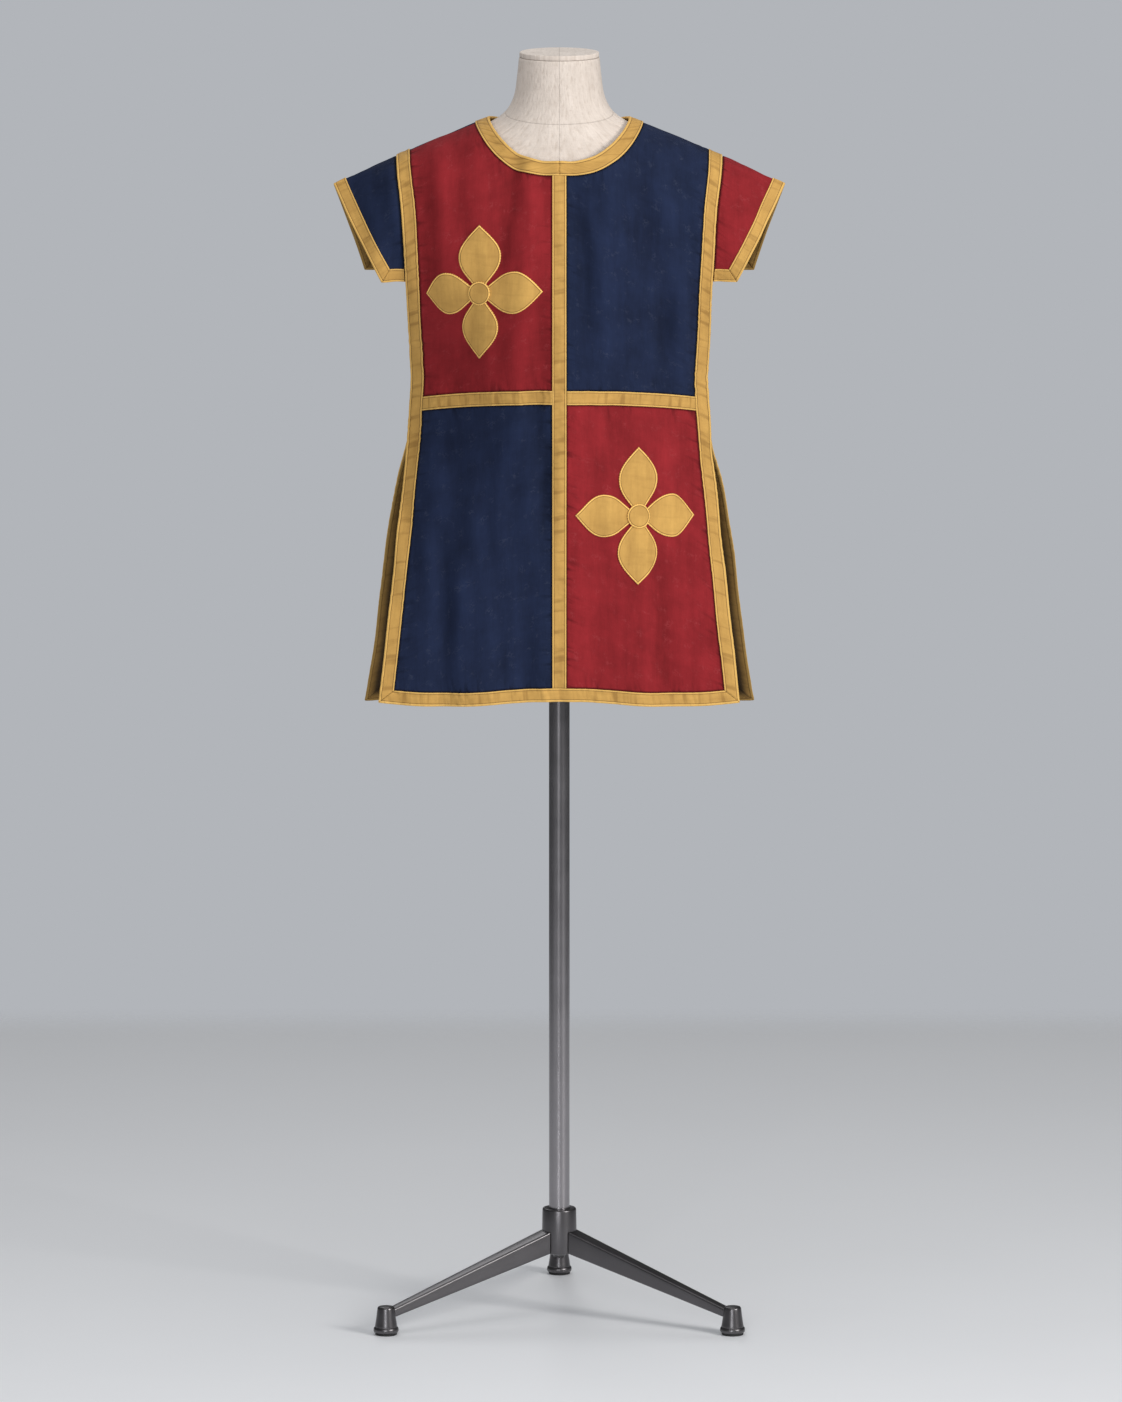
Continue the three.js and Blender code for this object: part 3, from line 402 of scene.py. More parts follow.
def relief(x, length):
    """How far the cloth stands out from its plain form."""
    cloth = bpy.context.scene.tabard_cloth
    z = ridge_at(x) - drop_after(np.abs(length))
    soft = np.where(length < 0, creases(x, z, FRONT), creases(x, z, BACK))
    settled = smoothstep(np.abs(length), 0, 110) * 0.75 + 0.25
    sewn = puckers(x, length) * cloth.pucker_depth / MM
    return soft * settled * cloth.crease_depth + sewn


def cloth_points(x, length, lift=0.0):
    """Points and outward normals on the cloth, moved out by lift."""
    x, length = np.broadcast_arrays(np.asarray(x, float), np.asarray(length, float))
    across = middle_surface(x + 0.5, length) - middle_surface(x - 0.5, length)
    along = middle_surface(x, length + 0.5) - middle_surface(x, length - 0.5)
    normal = np.cross(across, along)
    normal /= np.linalg.norm(normal, axis=-1, keepdims=True)
    out = np.asarray(lift) + relief(x, length)
    return middle_surface(x, length) + normal * out[..., None], normal


def to_row(points):
    """Points in millimetres about the pole, as metres in the part's own frame."""
    return (points - (0.0, POLE_FORWARD, 0.0)) * MM


# ---------------------------------------------------------------- places on the cloth


def settle(step, like, guess=200.0):
    """For each of like, the value that step, which depends on it a little, gives back."""
    value = guess + 0 * like
    for _ in range(7):
        value = step(value)
    return value


def side_place(inset, down, side, face):
    """Places down a panel's side at an inset from its edge, from the ridge to the hem's mitre."""
    x_at = lambda z: edge_at(z, face) - inset
    corner = settle(lambda x: x_at(hemline(x, face) + inset), inset)
    end = length_to(ridge_at(corner) - hemline(corner, face) - inset)
    length = lerp(GAP / 2, end, down)
    x = settle(lambda x: x_at(ridge_at(x) - drop_after(length)), length)
    return side * x, face * length


def hem_place(inset, along, face):
    """Places along a hem at an inset from its edge, from -1 to 1 between its mitres."""
    corner = settle(lambda x: edge_at(hemline(x, face) + inset, face) - inset, inset)
    x = along * (corner - GAP * math.sqrt(2))
    return x, face * length_to(ridge_at(x) - hemline(x, face) - inset)


def neck_place(inset, around):
    """Places round the neck at an inset from its edge, from the centre front round by the left."""
    turn = 2 * math.pi * around
    sideways, front = np.sin(turn), np.cos(turn)
    reach = np.where(front > 0, NECK[FRONT], NECK[BACK])
    normal = np.stack([sideways / NECK["half_width"], front / reach])
    normal = normal / np.linalg.norm(normal, axis=0)
    x = NECK["half_width"] * sideways + inset * normal[0]
    return x, -(reach * front + inset * normal[1])


def neck_edge_below(x, inset):
    """The length at which the front's centre line leaves the neck binding."""
    half_width, reach = NECK["half_width"], NECK[FRONT]
    angle = np.arccos(x / (half_width + BAND * reach / half_width))
    rise = np.sin(angle) / reach
    return reach * np.sin(angle) + inset * rise / np.hypot(np.cos(angle) / half_width, rise)


def centre_place(inset, down):
    """Places down the centre band, from the neck binding to the hem binding."""
    x = inset - STRIP / 2
    top = neck_edge_below(np.abs(x), BAND) + GAP
    bottom = length_to(ridge_at(x) - hemline(x, FRONT) - BAND - GAP)
    return x + 0 * down, -lerp(top, bottom, down)


def cross_place(inset, along, side):
    """Places along a cross band, from the centre band out to the side binding."""
    up = STRIP / 2 - inset
    x_end = settle(lambda x: edge_at(cross_seam(x) + up, FRONT) - BAND, up, 180.0)
    x = lerp(STRIP / 2 + GAP, x_end - GAP, along)
    return side * x, -length_to(ridge_at(x) - cross_seam(x) - up)


WING_DROP = ridge_at(WING["tip"]) - WING["corner_z"]
WING_LEAN = math.atan2(WING["tip"] - WING["corner_x"], WING_DROP)


def wing_edge(z, back):
    """The outer edge of a wing's front half, or of its back half where back is 1."""
    height = (z - WING["corner_z"]) / WING_DROP
    flare = back * BACK_FLARE * np.maximum(1 - height, 0)
    return lerp(WING["corner_x"], WING["tip"], height) + flare


def wing_place(x_at, over, end):
    """Places over a wing, from its front hem at -1 over the ridge to its back hem at 1."""
    top = settle(lambda x: x_at(ridge_at(x)), over, 260.0)
    z = lerp(ridge_at(top), end, over * over)
    x = x_at(z)
    return x, np.sign(over) * length_to(np.maximum(ridge_at(x) - z, 0))


def wing_edge_place(inset, over, side):
    """Places along a wing's outer edge at an inset from it."""
    x_at = lambda z: wing_edge(z, over > 0) - inset / math.cos(WING_LEAN)
    x, length = wing_place(x_at, over, WING["corner_z"] + WING["hem"] * inset / BAND)
    return side * x, length


def wing_hem_place(inset, along, side, face):
    """Places along a wing's hem, from the panel's seam out to the mitre."""
    z = WING["corner_z"] + WING["hem"] * inset / BAND
    start = edge_at(z, FRONT) + WING_SEAM
    end = wing_edge(z, face == BACK) - inset / math.cos(WING_LEAN) - GAP * math.sqrt(2)
    x = lerp(start, end, along)
    return side * x, face * length_to(ridge_at(x) - z)


def wing_panel_place(out, over, side):
    """Places on a wing: out runs from the panel's seam to its outer edge."""
    x_at = lambda z: lerp(edge_at(z, FRONT) + WING_SEAM, wing_edge(z, over > 0), out)
    x, length = wing_place(x_at, over, WING["corner_z"])
    return side * x, length


NECK_SHARE = 0.45  # the share of a half panel's columns that start at the neck
MID_HEIGHT = 1200.0  # where a column's place is first looked for


def panel_place(out, down, face, bottom_at, top_at=None):
    """Places on half a panel: out runs from the centre line to the side, down to the bottom."""
    centre = GAP / 2 if face == FRONT else 0.0
    column = lambda z: lerp(centre, edge_at(z, face), out)
    across = lambda height_at: settle(lambda x: column(height_at(x)), out, column(MID_HEIGHT))
    on_column = lambda length: across(lambda x: ridge_at(x) - drop_after(length))
    bottom_x = across(bottom_at)
    bottom = length_to(ridge_at(bottom_x) - bottom_at(bottom_x))
    if top_at:
        top_x = across(top_at)
        top = length_to(ridge_at(top_x) - top_at(top_x))
    else:
        angle = np.clip(1 - out / NECK_SHARE, 0, 1) * math.pi / 2
        ridge = np.clip((out - NECK_SHARE) / (1 - NECK_SHARE), 0, 1)
        top_x = np.maximum(NECK["half_width"] * np.cos(angle), centre)
        top_x = lerp(top_x, SHOULDER_EDGE, ridge)
        top = np.maximum(NECK[face] * np.sin(angle), GAP / 2)
    length = lerp(top, bottom, down if top_at else down**1.25)
    astray = (1 - smoothstep(down, 0, 0.5)) * (top_x - on_column(top))
    return on_column(length) + astray, face * length


# ---------------------------------------------------------------- meshes


def add_piece(mesh, name, finish, nodes=()):
    """A finished mesh as a piece of the part, standing for CAD nodes."""
    piece = bpy.data.objects.new(name, mesh)
    bpy.context.scene.collection.objects.link(piece)
    mesh.materials.append(material_named(finish))
    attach(piece, "root")
    if nodes:
        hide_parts(*nodes)
    return piece


def to_mesh(bm, name):
    mesh = bpy.data.meshes.new(name)
    bm.to_mesh(mesh)
    bm.free()
    mesh.shade_smooth()
    return mesh


def mark_mesh(mesh, points, flat, marks):
    """Puts a mesh's points in place, and gives it its flat pattern and its marks."""
    corners = np.empty(len(mesh.loops), np.int32)
    mesh.loops.foreach_get("vertex_index", corners)
    mesh.vertices.foreach_set("co", to_row(points).ravel())
    mesh.uv_layers.new(name="cloth").data.foreach_set("uv", (flat[corners] * MM).ravel())
    for name, values in marks.items():
        mesh.attributes.new(name, "FLOAT", "POINT").data.foreach_set("value", values)
    mesh.update()


def grid_values(across, down):
    return np.tile(across, len(down)), np.repeat(down, len(across))


def grid_mesh(name, across, down):
    """A flat grid that has a corner for each pair of values."""
    bm = bmesh.new()
    bmesh.ops.create_grid(bm, x_segments=len(across) - 1, y_segments=len(down) - 1, size=0.5)
    return to_mesh(bm, name)


def face_outwards(mesh, normals):
    """Turns a mesh's faces to the side that the cloth's normals point to."""
    facing = np.empty(len(mesh.vertices) * 3, np.float32)
    mesh.vertices.foreach_get("normal", facing)
    if (facing.reshape(-1, 3) * normals).sum() < 0:
        mesh.flip_normals()


def solidify(piece, thickness):
    wall = piece.modifiers.new("Wall", "SOLIDIFY")
    wall.thickness = thickness
    wall.offset = 0.0
    return piece


def merged(mesh, fill=False):
    """Joins a mesh's meeting edges and, where fill says so, closes what is still open."""
    bm = bmesh.new()
    bm.from_mesh(mesh)
    bmesh.ops.remove_doubles(bm, verts=bm.verts, dist=2e-5)
    if fill:
        bmesh.ops.holes_fill(bm, edges=[e for e in bm.edges if e.is_boundary])
        bmesh.ops.recalc_face_normals(bm, faces=bm.faces)
    bm.to_mesh(mesh)
    bm.free()
    mesh.shade_smooth()


def cloth_marks(x, length):
    """How far a sheet stands out, and how close it is to its upright and level seams."""
    upright, level = seams_near(x, length)
    return {"fold": relief(x, length), "upright": closeness(upright), "level": closeness(level)}


def run_along(points, inset, rows):
    """How far each point of a tape is along it, from the row that crosses it most squarely."""
    grid = points.reshape(rows, -1, 3)
    steps = np.linalg.norm(np.diff(grid, axis=0), axis=2)
    run = np.concatenate([np.zeros_like(steps[:1]), np.cumsum(steps, axis=0)])
    across = grid[:, np.argmax(inset)] - grid[:, np.argmin(inset)]
    forward = np.gradient(grid[:, np.argmin(inset)], axis=0)
    lean = np.abs((across * forward).sum(axis=1) / np.linalg.norm(forward, axis=1))
    return (run - run[np.argmin(lean)]).ravel()


def draped(name, across, down, place, finish, nodes, thickness, lift=0.0, margin=None):
    """A sheet laid over the cloth's surface: place gives the place of each of its corners."""
    u, v = grid_values(across, down)
    x, length = place(u, v)
    marks = {"fold": relief(x, length), "margin": margin(u)} if margin else cloth_marks(x, length)
    lift = lift + stitch_line(margin(u)) if margin else lift
    points, normals = cloth_points(x, length, lift)
    flat = (u, run_along(points, across, len(down))) if margin else (x, length)
    mesh = grid_mesh(name, across, down)
    mark_mesh(mesh, points, np.stack(flat, axis=-1), marks)
    face_outwards(mesh, normals)
    return solidify(add_piece(mesh, name, finish, nodes), thickness)


def stitch_line(margin):
    """How far a sewn piece stands out at its rolled rim and its sunk seam."""
    raised = lambda at, width, height: height * np.exp(-(((margin - at) / width) ** 2))
    return sum(raised(*row) for row in SEWN_RELIEF)


def lift_of(thickness, share=0.5):
    """How far above a panel's middle a layer sewn on it has its own middle, or its top for 1."""
    panel = bpy.context.scene.tabard_cloth.cloth_thickness
    return panel / MM / 2 + GAP + share * thickness / MM


def across_tape(width):
    """Insets across a tape, close together along its two stitched edges."""
    rim = np.array([0, 0.5, 1.0, 1.5, 2.1, 2.7, 3.6])
    inner = np.linspace(rim[-1], width - rim[-1], 5)[1:-1]
    return np.concatenate([rim, inner, width - rim[::-1]])


def flat_band(name, place, count, nodes):
    """A tape stitched flat on the cloth."""
    thickness = bpy.context.scene.tabard_cloth.tape_thickness
    draped(
        name, across_tape(STRIP), np.linspace(0, 1, count), place, "gold tape", nodes, thickness,
        lift_of(thickness), lambda inset: np.minimum(inset, STRIP - inset),
    )


def binding(name, place, along, nodes, closed=False):
    """A tape folded over an edge: place takes the inset from the edge and the share along it."""
    thickness = bpy.context.scene.tabard_cloth.tape_thickness
    turn = np.radians([90, 60, 30, 0, -30, -60, -90])
    fold = [(-FOLD_OUT * math.cos(a), math.sin(a)) for a in turn]
    flat = across_tape(BAND)[1:-1]
    section = [(BAND, 1.0), *((i, 1.0) for i in flat[::-1]), *fold]
    section += [*((i, -1.0) for i in flat), (BAND, -1.0)]
    inset, layer = np.array(section).T
    margin = np.maximum(np.minimum(inset, BAND - inset), 0)
    index, s = grid_values(np.arange(len(section)), along)
    x, length = place(inset[index], s)
    flat_part = np.abs(layer[index]) > 0.99
    raised = layer[index] * (lift_of(thickness) + stitch_line(margin[index]) * flat_part)
    points, normals = cloth_points(x, length, raised)
    mesh = grid_mesh(name, np.arange(len(section)), along)
    around = np.where(layer > 0, inset, -inset)[index]
    flat_place = np.stack([around, run_along(points, inset, len(along))], axis=-1)
    # Painted shade on a binding's inner layer, deepening away from its fold, where the outer layer
    # would shade it.
    inner_shade = np.where(layer < 0, 0.6 + 0.38 * smoothstep(inset, 2.5, 12.5), 0.0)
    marks = {"fold": relief(x, length), "margin": margin[index], "inside": inner_shade[index]}
    mark_mesh(mesh, points, flat_place, marks)
    face_outwards(mesh, normals * np.sign(layer[index] + 0.01)[:, None])
    if closed:
        merged(mesh)
    solidify(add_piece(mesh, name, "gold tape", nodes), thickness)


def turned(name, outline, centre, finish, nodes, segments=64):
    """A solid turned about an upright line from radii and heights."""
    bm = bmesh.new()
    verts = [bm.verts.new(((centre[0] + r) * MM, centre[1] * MM, z * MM)) for r, z in outline]
    edges = [bm.edges.new(pair) for pair in zip(verts, verts[1:])]
    bmesh.ops.spin(
        bm, geom=verts + edges, cent=(centre[0] * MM, centre[1] * MM, 0), axis=(0, 0, 1),
        angle=2 * math.pi, steps=segments, use_merge=True,
    )
    bmesh.ops.remove_doubles(bm, verts=bm.verts, dist=1e-6)
    bmesh.ops.recalc_face_normals(bm, faces=bm.faces)
    mesh = to_mesh(bm, name)
    mesh.set_sharp_from_angle(angle=math.radians(35))
    add_piece(mesh, name, finish, nodes)


# ---------------------------------------------------------------- materials


def new_group(name, inputs, build):
    """A shader node group with its sockets, and with what build makes of its inputs put out."""
    group = bpy.data.node_groups.new(name, "ShaderNodeTree")
    for socket, kind, value in inputs:
        made = group.interface.new_socket(socket, in_out="INPUT", socket_type=f"NodeSocket{kind}")
        if value is not None:
            made.default_value = value
    results = build(group, group.nodes.new("NodeGroupInput").outputs)
    for socket in results:
        group.interface.new_socket(socket, in_out="OUTPUT", socket_type="NodeSocketFloat")
    out = group.nodes.new("NodeGroupOutput")
    for socket, value in results.items():
        group.links.new(value, out.inputs[socket])
    return group


def add_node(tree, kind, inputs=(), **settings):
    """A node with its settings and with values or links on its inputs."""
    node = tree.nodes.new(kind)
    for name, value in settings.items():
        setattr(node, name, value)
    for key, value in dict(inputs).items():
        if isinstance(value, bpy.types.NodeSocket):
            tree.links.new(value, node.inputs[key])
        else:
            node.inputs[key].default_value = value
    return node


def calc(tree, operation, a, b=0.0, c=0.0, clamp=False):
    """A sum or another step of arithmetic on numbers and links."""
    inputs = {0: a, 1: b, 2: c}
    node = add_node(tree, "ShaderNodeMath", inputs, operation=operation, use_clamp=clamp)
    return node.outputs[0]


def noise(tree, vector, scale, detail=3.0, roughness=0.55):
    values = {"Vector": vector, "Scale": scale, "Detail": detail, "Roughness": roughness}
    return add_node(tree, "ShaderNodeTexNoise", values).outputs["Fac"]


def scaled(tree, vector, scale):
    return add_node(tree, "ShaderNodeMapping", {"Vector": vector, "Scale": scale}).outputs[0]


def ramp(tree, value, low, high, start=1.0, end=0.0, **settings):
    """A value that goes from start to end as another goes from low to high."""
    values = {"Value": value, "From Min": low, "From Max": high, "To Min": start, "To Max": end}
    return add_node(tree, "ShaderNodeMapRange", values, **settings).outputs[0]


def build_weave(group, given):
    """A plain weave with thick places in its threads."""
    threads = add_node(
        group, "ShaderNodeVectorMath", {0: given["Vector"], "Scale": given["Threads"]},
        operation="SCALE",
    ).outputs[0]
    split = add_node(group, "ShaderNodeSeparateXYZ", {0: threads}).outputs
    waves = [calc(group, "SINE", calc(group, "MULTIPLY", split[i], math.pi)) for i in (0, 1)]
    crossing = calc(group, "MULTIPLY_ADD", calc(group, "MULTIPLY", *waves), 0.5, 0.5)
    warp = noise(group, scaled(group, threads, (0.9, 0.035, 1)), 1.0, 2.0, 0.6)
    weft = noise(group, scaled(group, threads, (0.05, 0.9, 1)), 1.0, 2.0, 0.6)
    fuzz = calc(group, "MULTIPLY", noise(group, threads, 0.45, 3.0, 0.7), 0.35)
    slubs = calc(group, "MULTIPLY_ADD", warp, 0.65, calc(group, "MULTIPLY", weft, 0.35))
    slubs = calc(group, "MULTIPLY", calc(group, "SUBTRACT", slubs, 0.5), given["Slub"])
    thick = calc(group, "MULTIPLY", slubs, 2.0)
    return {
        "Height": calc(group, "MULTIPLY_ADD", crossing, 0.5, thick),
        "Tone": calc(group, "MULTIPLY_ADD", slubs, 1.8, fuzz),
    }


def build_dye_and_fold_light(group, given):
    """Uneven dye: broad clouds, streaks down the cloth and pale fibres; and painted light on raised
    folds, with painted shade in the hollows between them.
    """
    place = given["Vector"]
    clouds = noise(group, place, 26.0, 5.0, 0.66)
    streaks = noise(group, scaled(group, place, (1, 0.12, 1)), 120.0, 3.0, 0.6)
    streaks = calc(group, "MULTIPLY", calc(group, "SUBTRACT", streaks, 0.5), given["Streaks"])
    # Painted light and shade: the cloth's relief height makes its raised folds paler and its
    # hollows darker.
    raised = calc(group, "MULTIPLY", given["Fold"], 0.05)
    tone = calc(group, "ADD", calc(group, "ADD", clouds, streaks), raised, clamp=True)
    strands = calc(group, "SUBTRACT", noise(group, place, 210.0, 1.0), 0.5)
    thin = calc(group, "MULTIPLY_ADD", calc(group, "ABSOLUTE", strands), -13.0, 1.0, clamp=True)
    patches = calc(group, "MULTIPLY_ADD", noise(group, place, 75.0, 2.0), 7.0, -3.9, clamp=True)
    return {"Tone": tone, "Fibres": calc(group, "MULTIPLY", thin, patches)}


def build_gathers(group, given):
    """Small gathers beside a seam, across the cloth or down it as the two inputs say: their bump,
    and a painted shade in the hollow of each crease.
    """
    heights, creases = [], []
    for way, lean, spread in (("Across", 0.22, (30, 118, 1)), ("Down", -0.12, (118, 30, 1))):
        values = {"Vector": given["Vector"], "Rotation": (0, 0, lean)}
        turn = add_node(group, "ShaderNodeMapping", values).outputs[0]
        wave = noise(group, scaled(group, turn, spread), 1.0, 2.0, 0.45)
        wave = calc(group, "SUBTRACT", wave, 0.5)
        # Painted shade: dark where the gather's wave dips.
        line = calc(group, "MULTIPLY_ADD", wave, -7.0, -0.35, clamp=True)
        height = calc(group, "MULTIPLY", wave, 2.0)
        heights.append(calc(group, "MULTIPLY", height, given[way]))
        creases.append(calc(group, "MULTIPLY", line, given[way]))
    return {"Height": calc(group, "ADD", *heights), "Crease": calc(group, "MAXIMUM", *creases)}


def build_sewn_edge(group, given):
    """A painted highlight on the turned edge, and the stitched line, of a sewn piece, from the
    margin to its edge.
    """
    away = calc(group, "SUBTRACT", given["Margin"], STITCH["inset"])
    return {
        "Edge": ramp(group, given["Margin"], 1.3, 1.8),
        "Seam": ramp(group, calc(group, "ABSOLUTE", away), 0.2, 0.65),
    }


def build_satin(group, given):
    """Faint mottling of a satin finish."""
    broad = noise(group, given["Vector"], 25.0, 3.0)
    rough = calc(group, "MULTIPLY_ADD", broad, 0.1, given["Roughness"])
    fine = noise(group, given["Vector"], 1600.0, 2.0, 0.6)
    return {"Tone": broad, "Rough": rough, "Height": fine}


PLACE = ("Vector", "Vector", None)
GROUPS = {
    "weave": ([PLACE, ("Threads", "Float", 1400.0), ("Slub", "Float", 0.5)], build_weave),
    "wash": ([PLACE, ("Fold", "Float", 0.0), ("Streaks", "Float", 0.5)], build_dye_and_fold_light),
    "gathers": ([PLACE, ("Across", "Float", 0.0), ("Down", "Float", 0.0)], build_gathers),
    "sewn edge": ([("Margin", "Float", 5.0)], build_sewn_edge),
    "satin": ([PLACE, ("Roughness", "Float", 0.3)], build_satin),
}


def placed(tree, name, **inputs):
    """The outputs of a shared node group placed in a material, and built at its first use."""
    group = bpy.data.node_groups.get(name) or new_group(name, *GROUPS[name])
    return add_node(tree, "ShaderNodeGroup", inputs, node_tree=group).outputs


def mixed(tree, factor, a, b):
    node = add_node(tree, "ShaderNodeMix", data_type="RGBA")
    for socket, value in ((node.inputs[0], factor), (node.inputs[6], a), (node.inputs[7], b)):
        if isinstance(value, bpy.types.NodeSocket):
            tree.links.new(value, socket)
        else:
            socket.default_value = value
    return node.outputs[2]


def tinted(colour, light, warm=0.0):
    """A colour made lighter or darker, and a little warmer."""
    red, green, blue = colour
    return (red * light * (1 + warm), green * light, blue * light * (1 - warm), 1.0)


def attribute(tree, name):
    return add_node(tree, "ShaderNodeAttribute", attribute_name=name).outputs["Fac"]


def new_material(name, viewport, **sockets):
    """A material with its own Principled BSDF, with plain numbers set on its sockets."""
    material = bpy.data.materials.new(name)
    material.use_nodes = True
    material.diffuse_color = (*viewport, 1.0)
    shader = material.node_tree.nodes["Principled BSDF"]
    for key, value in sockets.items():
        shader.inputs[key.replace("_", " ")].default_value = value
    return material, material.node_tree, shader


def finished(tree, shader, shade, height, strength, distance):
    """Gives a material its colour and its bump."""
    values = {"Height": height, "Strength": strength, "Distance": distance}
    bump = add_node(tree, "ShaderNodeBump", values)
    tree.links.new(shade, shader.inputs["Base Color"])
    tree.links.new(bump.outputs[0], shader.inputs["Normal"])


def painted(tree, shade, mask, amount, colour):
    """A shade with another colour over it as far as a mask and an amount say."""
    return mixed(tree, calc(tree, "MULTIPLY", mask, amount), shade, colour)


def flat_place(tree):
    """Places on a piece's flat pattern."""
    return add_node(tree, "ShaderNodeUVMap", uv_map="cloth").outputs[0]


def solid_place(tree):
    """Places in the part's own frame."""
    return add_node(tree, "ShaderNodeTexCoord").outputs["Object"]


def dyed_cloth(tree, threads, slub, streaks):
    """A dyed cloth's flat places, its weave, its dye with painted light and shade on its folds, and
    how pale it is from both.
    """
    flat = flat_place(tree)
    weave = placed(tree, "weave", Vector=flat, Threads=threads, Slub=slub)
    wash = placed(tree, "wash", Vector=flat, Fold=attribute(tree, "fold"), Streaks=streaks)
    worn = calc(tree, "ADD", wash["Tone"], calc(tree, "MULTIPLY", weave["Tone"], 0.5))
    return flat, weave, wash, worn


def woven_material(name, colour, slub, streaks, sheen):
    """Dyed cloth: a weave, uneven dye with painted light on its folds, gathers with painted shade
    in their creases, and a painted shadow line along the bands on it.
    """
    material, tree, shader = new_material(
        name, colour, Roughness=0.9, Sheen_Weight=sheen, Sheen_Roughness=0.4,
        Sheen_Tint=tinted(colour, 1.3), Specular_IOR_Level=0.12,
    )
    flat, weave, wash, worn = dyed_cloth(tree, 1500.0, slub, streaks)
    worn = calc(tree, "SUBTRACT", worn, 0.1, clamp=True)
    upright, level = attribute(tree, "upright"), attribute(tree, "level")
    gathers = placed(tree, "gathers", Vector=flat, Across=upright, Down=level)
    shade = mixed(tree, worn, tinted(colour, 0.6, 0.02), tinted(colour, 1.4, -0.01))
    fibre = (*(0.9 * value + 0.045 for value in tinted(colour, 1.6)[:3]), 1.0)
    shade = painted(tree, shade, wash["Fibres"], 0.3, fibre)
    # Painted shade in the creases of the gathers.
    shade = painted(tree, shade, gathers["Crease"], 0.8, tinted(colour, 0.25))
    # Painted shadow: a dark line on the cloth right beside the edge of each band.
    beside = calc(tree, "MAXIMUM", upright, level)
    shade = mixed(tree, ramp(tree, beside, 0.74, 0.92, 0.0, 0.88), shade, tinted(colour, 0.22))
    height = calc(tree, "MULTIPLY_ADD", weave["Height"], 0.04, gathers["Height"])
    finished(tree, shader, shade, height, 1.0, 0.0016)
    return material


def tape_material(name, colour, gathered):
    """Gold cloth that is sewn down: a painted highlight on its turned edge, its stitch line, on a
    tape gathers with painted shade in their creases, and on a binding painted shade over its inner
    layer.
    """
    material, tree, shader = new_material(
        name, colour, Roughness=0.78, Sheen_Weight=0.06, Sheen_Roughness=0.4,
        Sheen_Tint=tinted(colour, 1.3), Specular_IOR_Level=0.25,
    )
    flat, weave, _, worn = dyed_cloth(tree, 1700.0, 0.5, 0.8)
    narrow = scaled(tree, flat, (0.45, 1, 1))
    gathers = placed(tree, "gathers", Vector=narrow, Across=gathered, Down=0.0)
    edge = placed(tree, "sewn edge", Margin=attribute(tree, "margin"))
    shade = mixed(tree, worn, tinted(colour, 0.66, 0.04), tinted(colour, 1.26, -0.04))
    # Painted shade in the creases of the tape's gathers.
    shade = painted(tree, shade, gathers["Crease"], 0.5, tinted(colour, 0.4, 0.14))
    # Painted highlight along the turned edge, brighter on the petals than on the tapes.
    rim = tinted(colour, 2.3 - 0.8 * gathered, -0.08)
    shade = painted(tree, shade, edge["Edge"], 0.8, rim)
    shade = painted(tree, shade, edge["Seam"], 0.8, tinted(colour, 0.28, 0.15))
    # Painted shade: a binding's inner layer goes nearly black.
    shade = mixed(tree, attribute(tree, "inside"), shade, tinted(colour, 0.03, 0.1))
    height = calc(tree, "MULTIPLY_ADD", weave["Height"], 0.05, gathers["Height"])
    finished(tree, shader, shade, height, 1.0, 0.0008)
    return material


def linen_material(name, colour, seams=True):
    """Unbleached linen stretched over the form, with its seams and painted shade in the hollows of
    its rumples.
    """
    material, tree, shader = new_material(
        name, colour, Roughness=0.82, Sheen_Weight=0.12, Sheen_Roughness=0.5,
        Specular_IOR_Level=0.3,
    )
    place = solid_place(tree)
    flat = flat_place(tree) if seams else place
    weave = placed(tree, "weave", Vector=flat, Threads=1100.0, Slub=0.8)
    wash = placed(tree, "wash", Vector=flat, Fold=0.0, Streaks=0.5)
    rumple = noise(tree, scaled(tree, flat, (1, 0.42, 1)), 230.0, 5.0, 0.6)
    painted_dent_shade = calc(tree, "MULTIPLY_ADD", rumple, -5.5, 2.75, clamp=True)
    tone = calc(tree, "MULTIPLY", weave["Tone"], 0.6)
    tone = calc(tree, "ADD", wash["Tone"], tone, clamp=True)
    shade = mixed(tree, tone, tinted(colour, 0.74, 0.03), tinted(colour, 1.16))
    # Painted shade: darker where the rumples dip.
    shade = painted(tree, shade, painted_dent_shade, 0.42, tinted(colour, 0.6, 0.09))
    height = calc(tree, "MULTIPLY", rumple, 5.0)
    height = calc(tree, "MULTIPLY_ADD", weave["Height"], 0.15, height)
    if seams:
        x = add_node(tree, "ShaderNodeSeparateXYZ", {0: place}).outputs[0]
        centre = calc(tree, "DIVIDE", calc(tree, "ABSOLUTE", x), 0.0006)
        collar = calc(tree, "ABSOLUTE", attribute(tree, "collar"))
        away = calc(tree, "MINIMUM", centre, calc(tree, "DIVIDE", collar, 0.6))
        seam = calc(tree, "SUBTRACT", 1.0, away, clamp=True)
        shade = painted(tree, shade, seam, 0.35, tinted(colour, 0.35, 0.05))
        height = calc(tree, "SUBTRACT", height, calc(tree, "MULTIPLY", seam, 1.5))
    finished(tree, shader, shade, height, 0.8, 0.0003)
    return material


def metal_material(name, colour, roughness):
    """Dark satin metal, with a painted highlight where the piece's mark says."""
    material, tree, shader = new_material(name, colour, Metallic=0.9)
    satin = placed(tree, "satin", Vector=solid_place(tree), Roughness=roughness)
    shade = mixed(tree, satin["Tone"], tinted(colour, 0.85), tinted(colour, 1.15))
    # Painted highlight: the marked places, the inner rows of the legs' rounded edges, are made
    # eleven times paler.
    shade = mixed(tree, attribute(tree, "worn"), shade, tinted(colour, 11.0, 0.02))
    tree.links.new(satin["Rough"], shader.inputs["Roughness"])
    finished(tree, shader, shade, satin["Height"], 0.12, 0.0001)
    return material


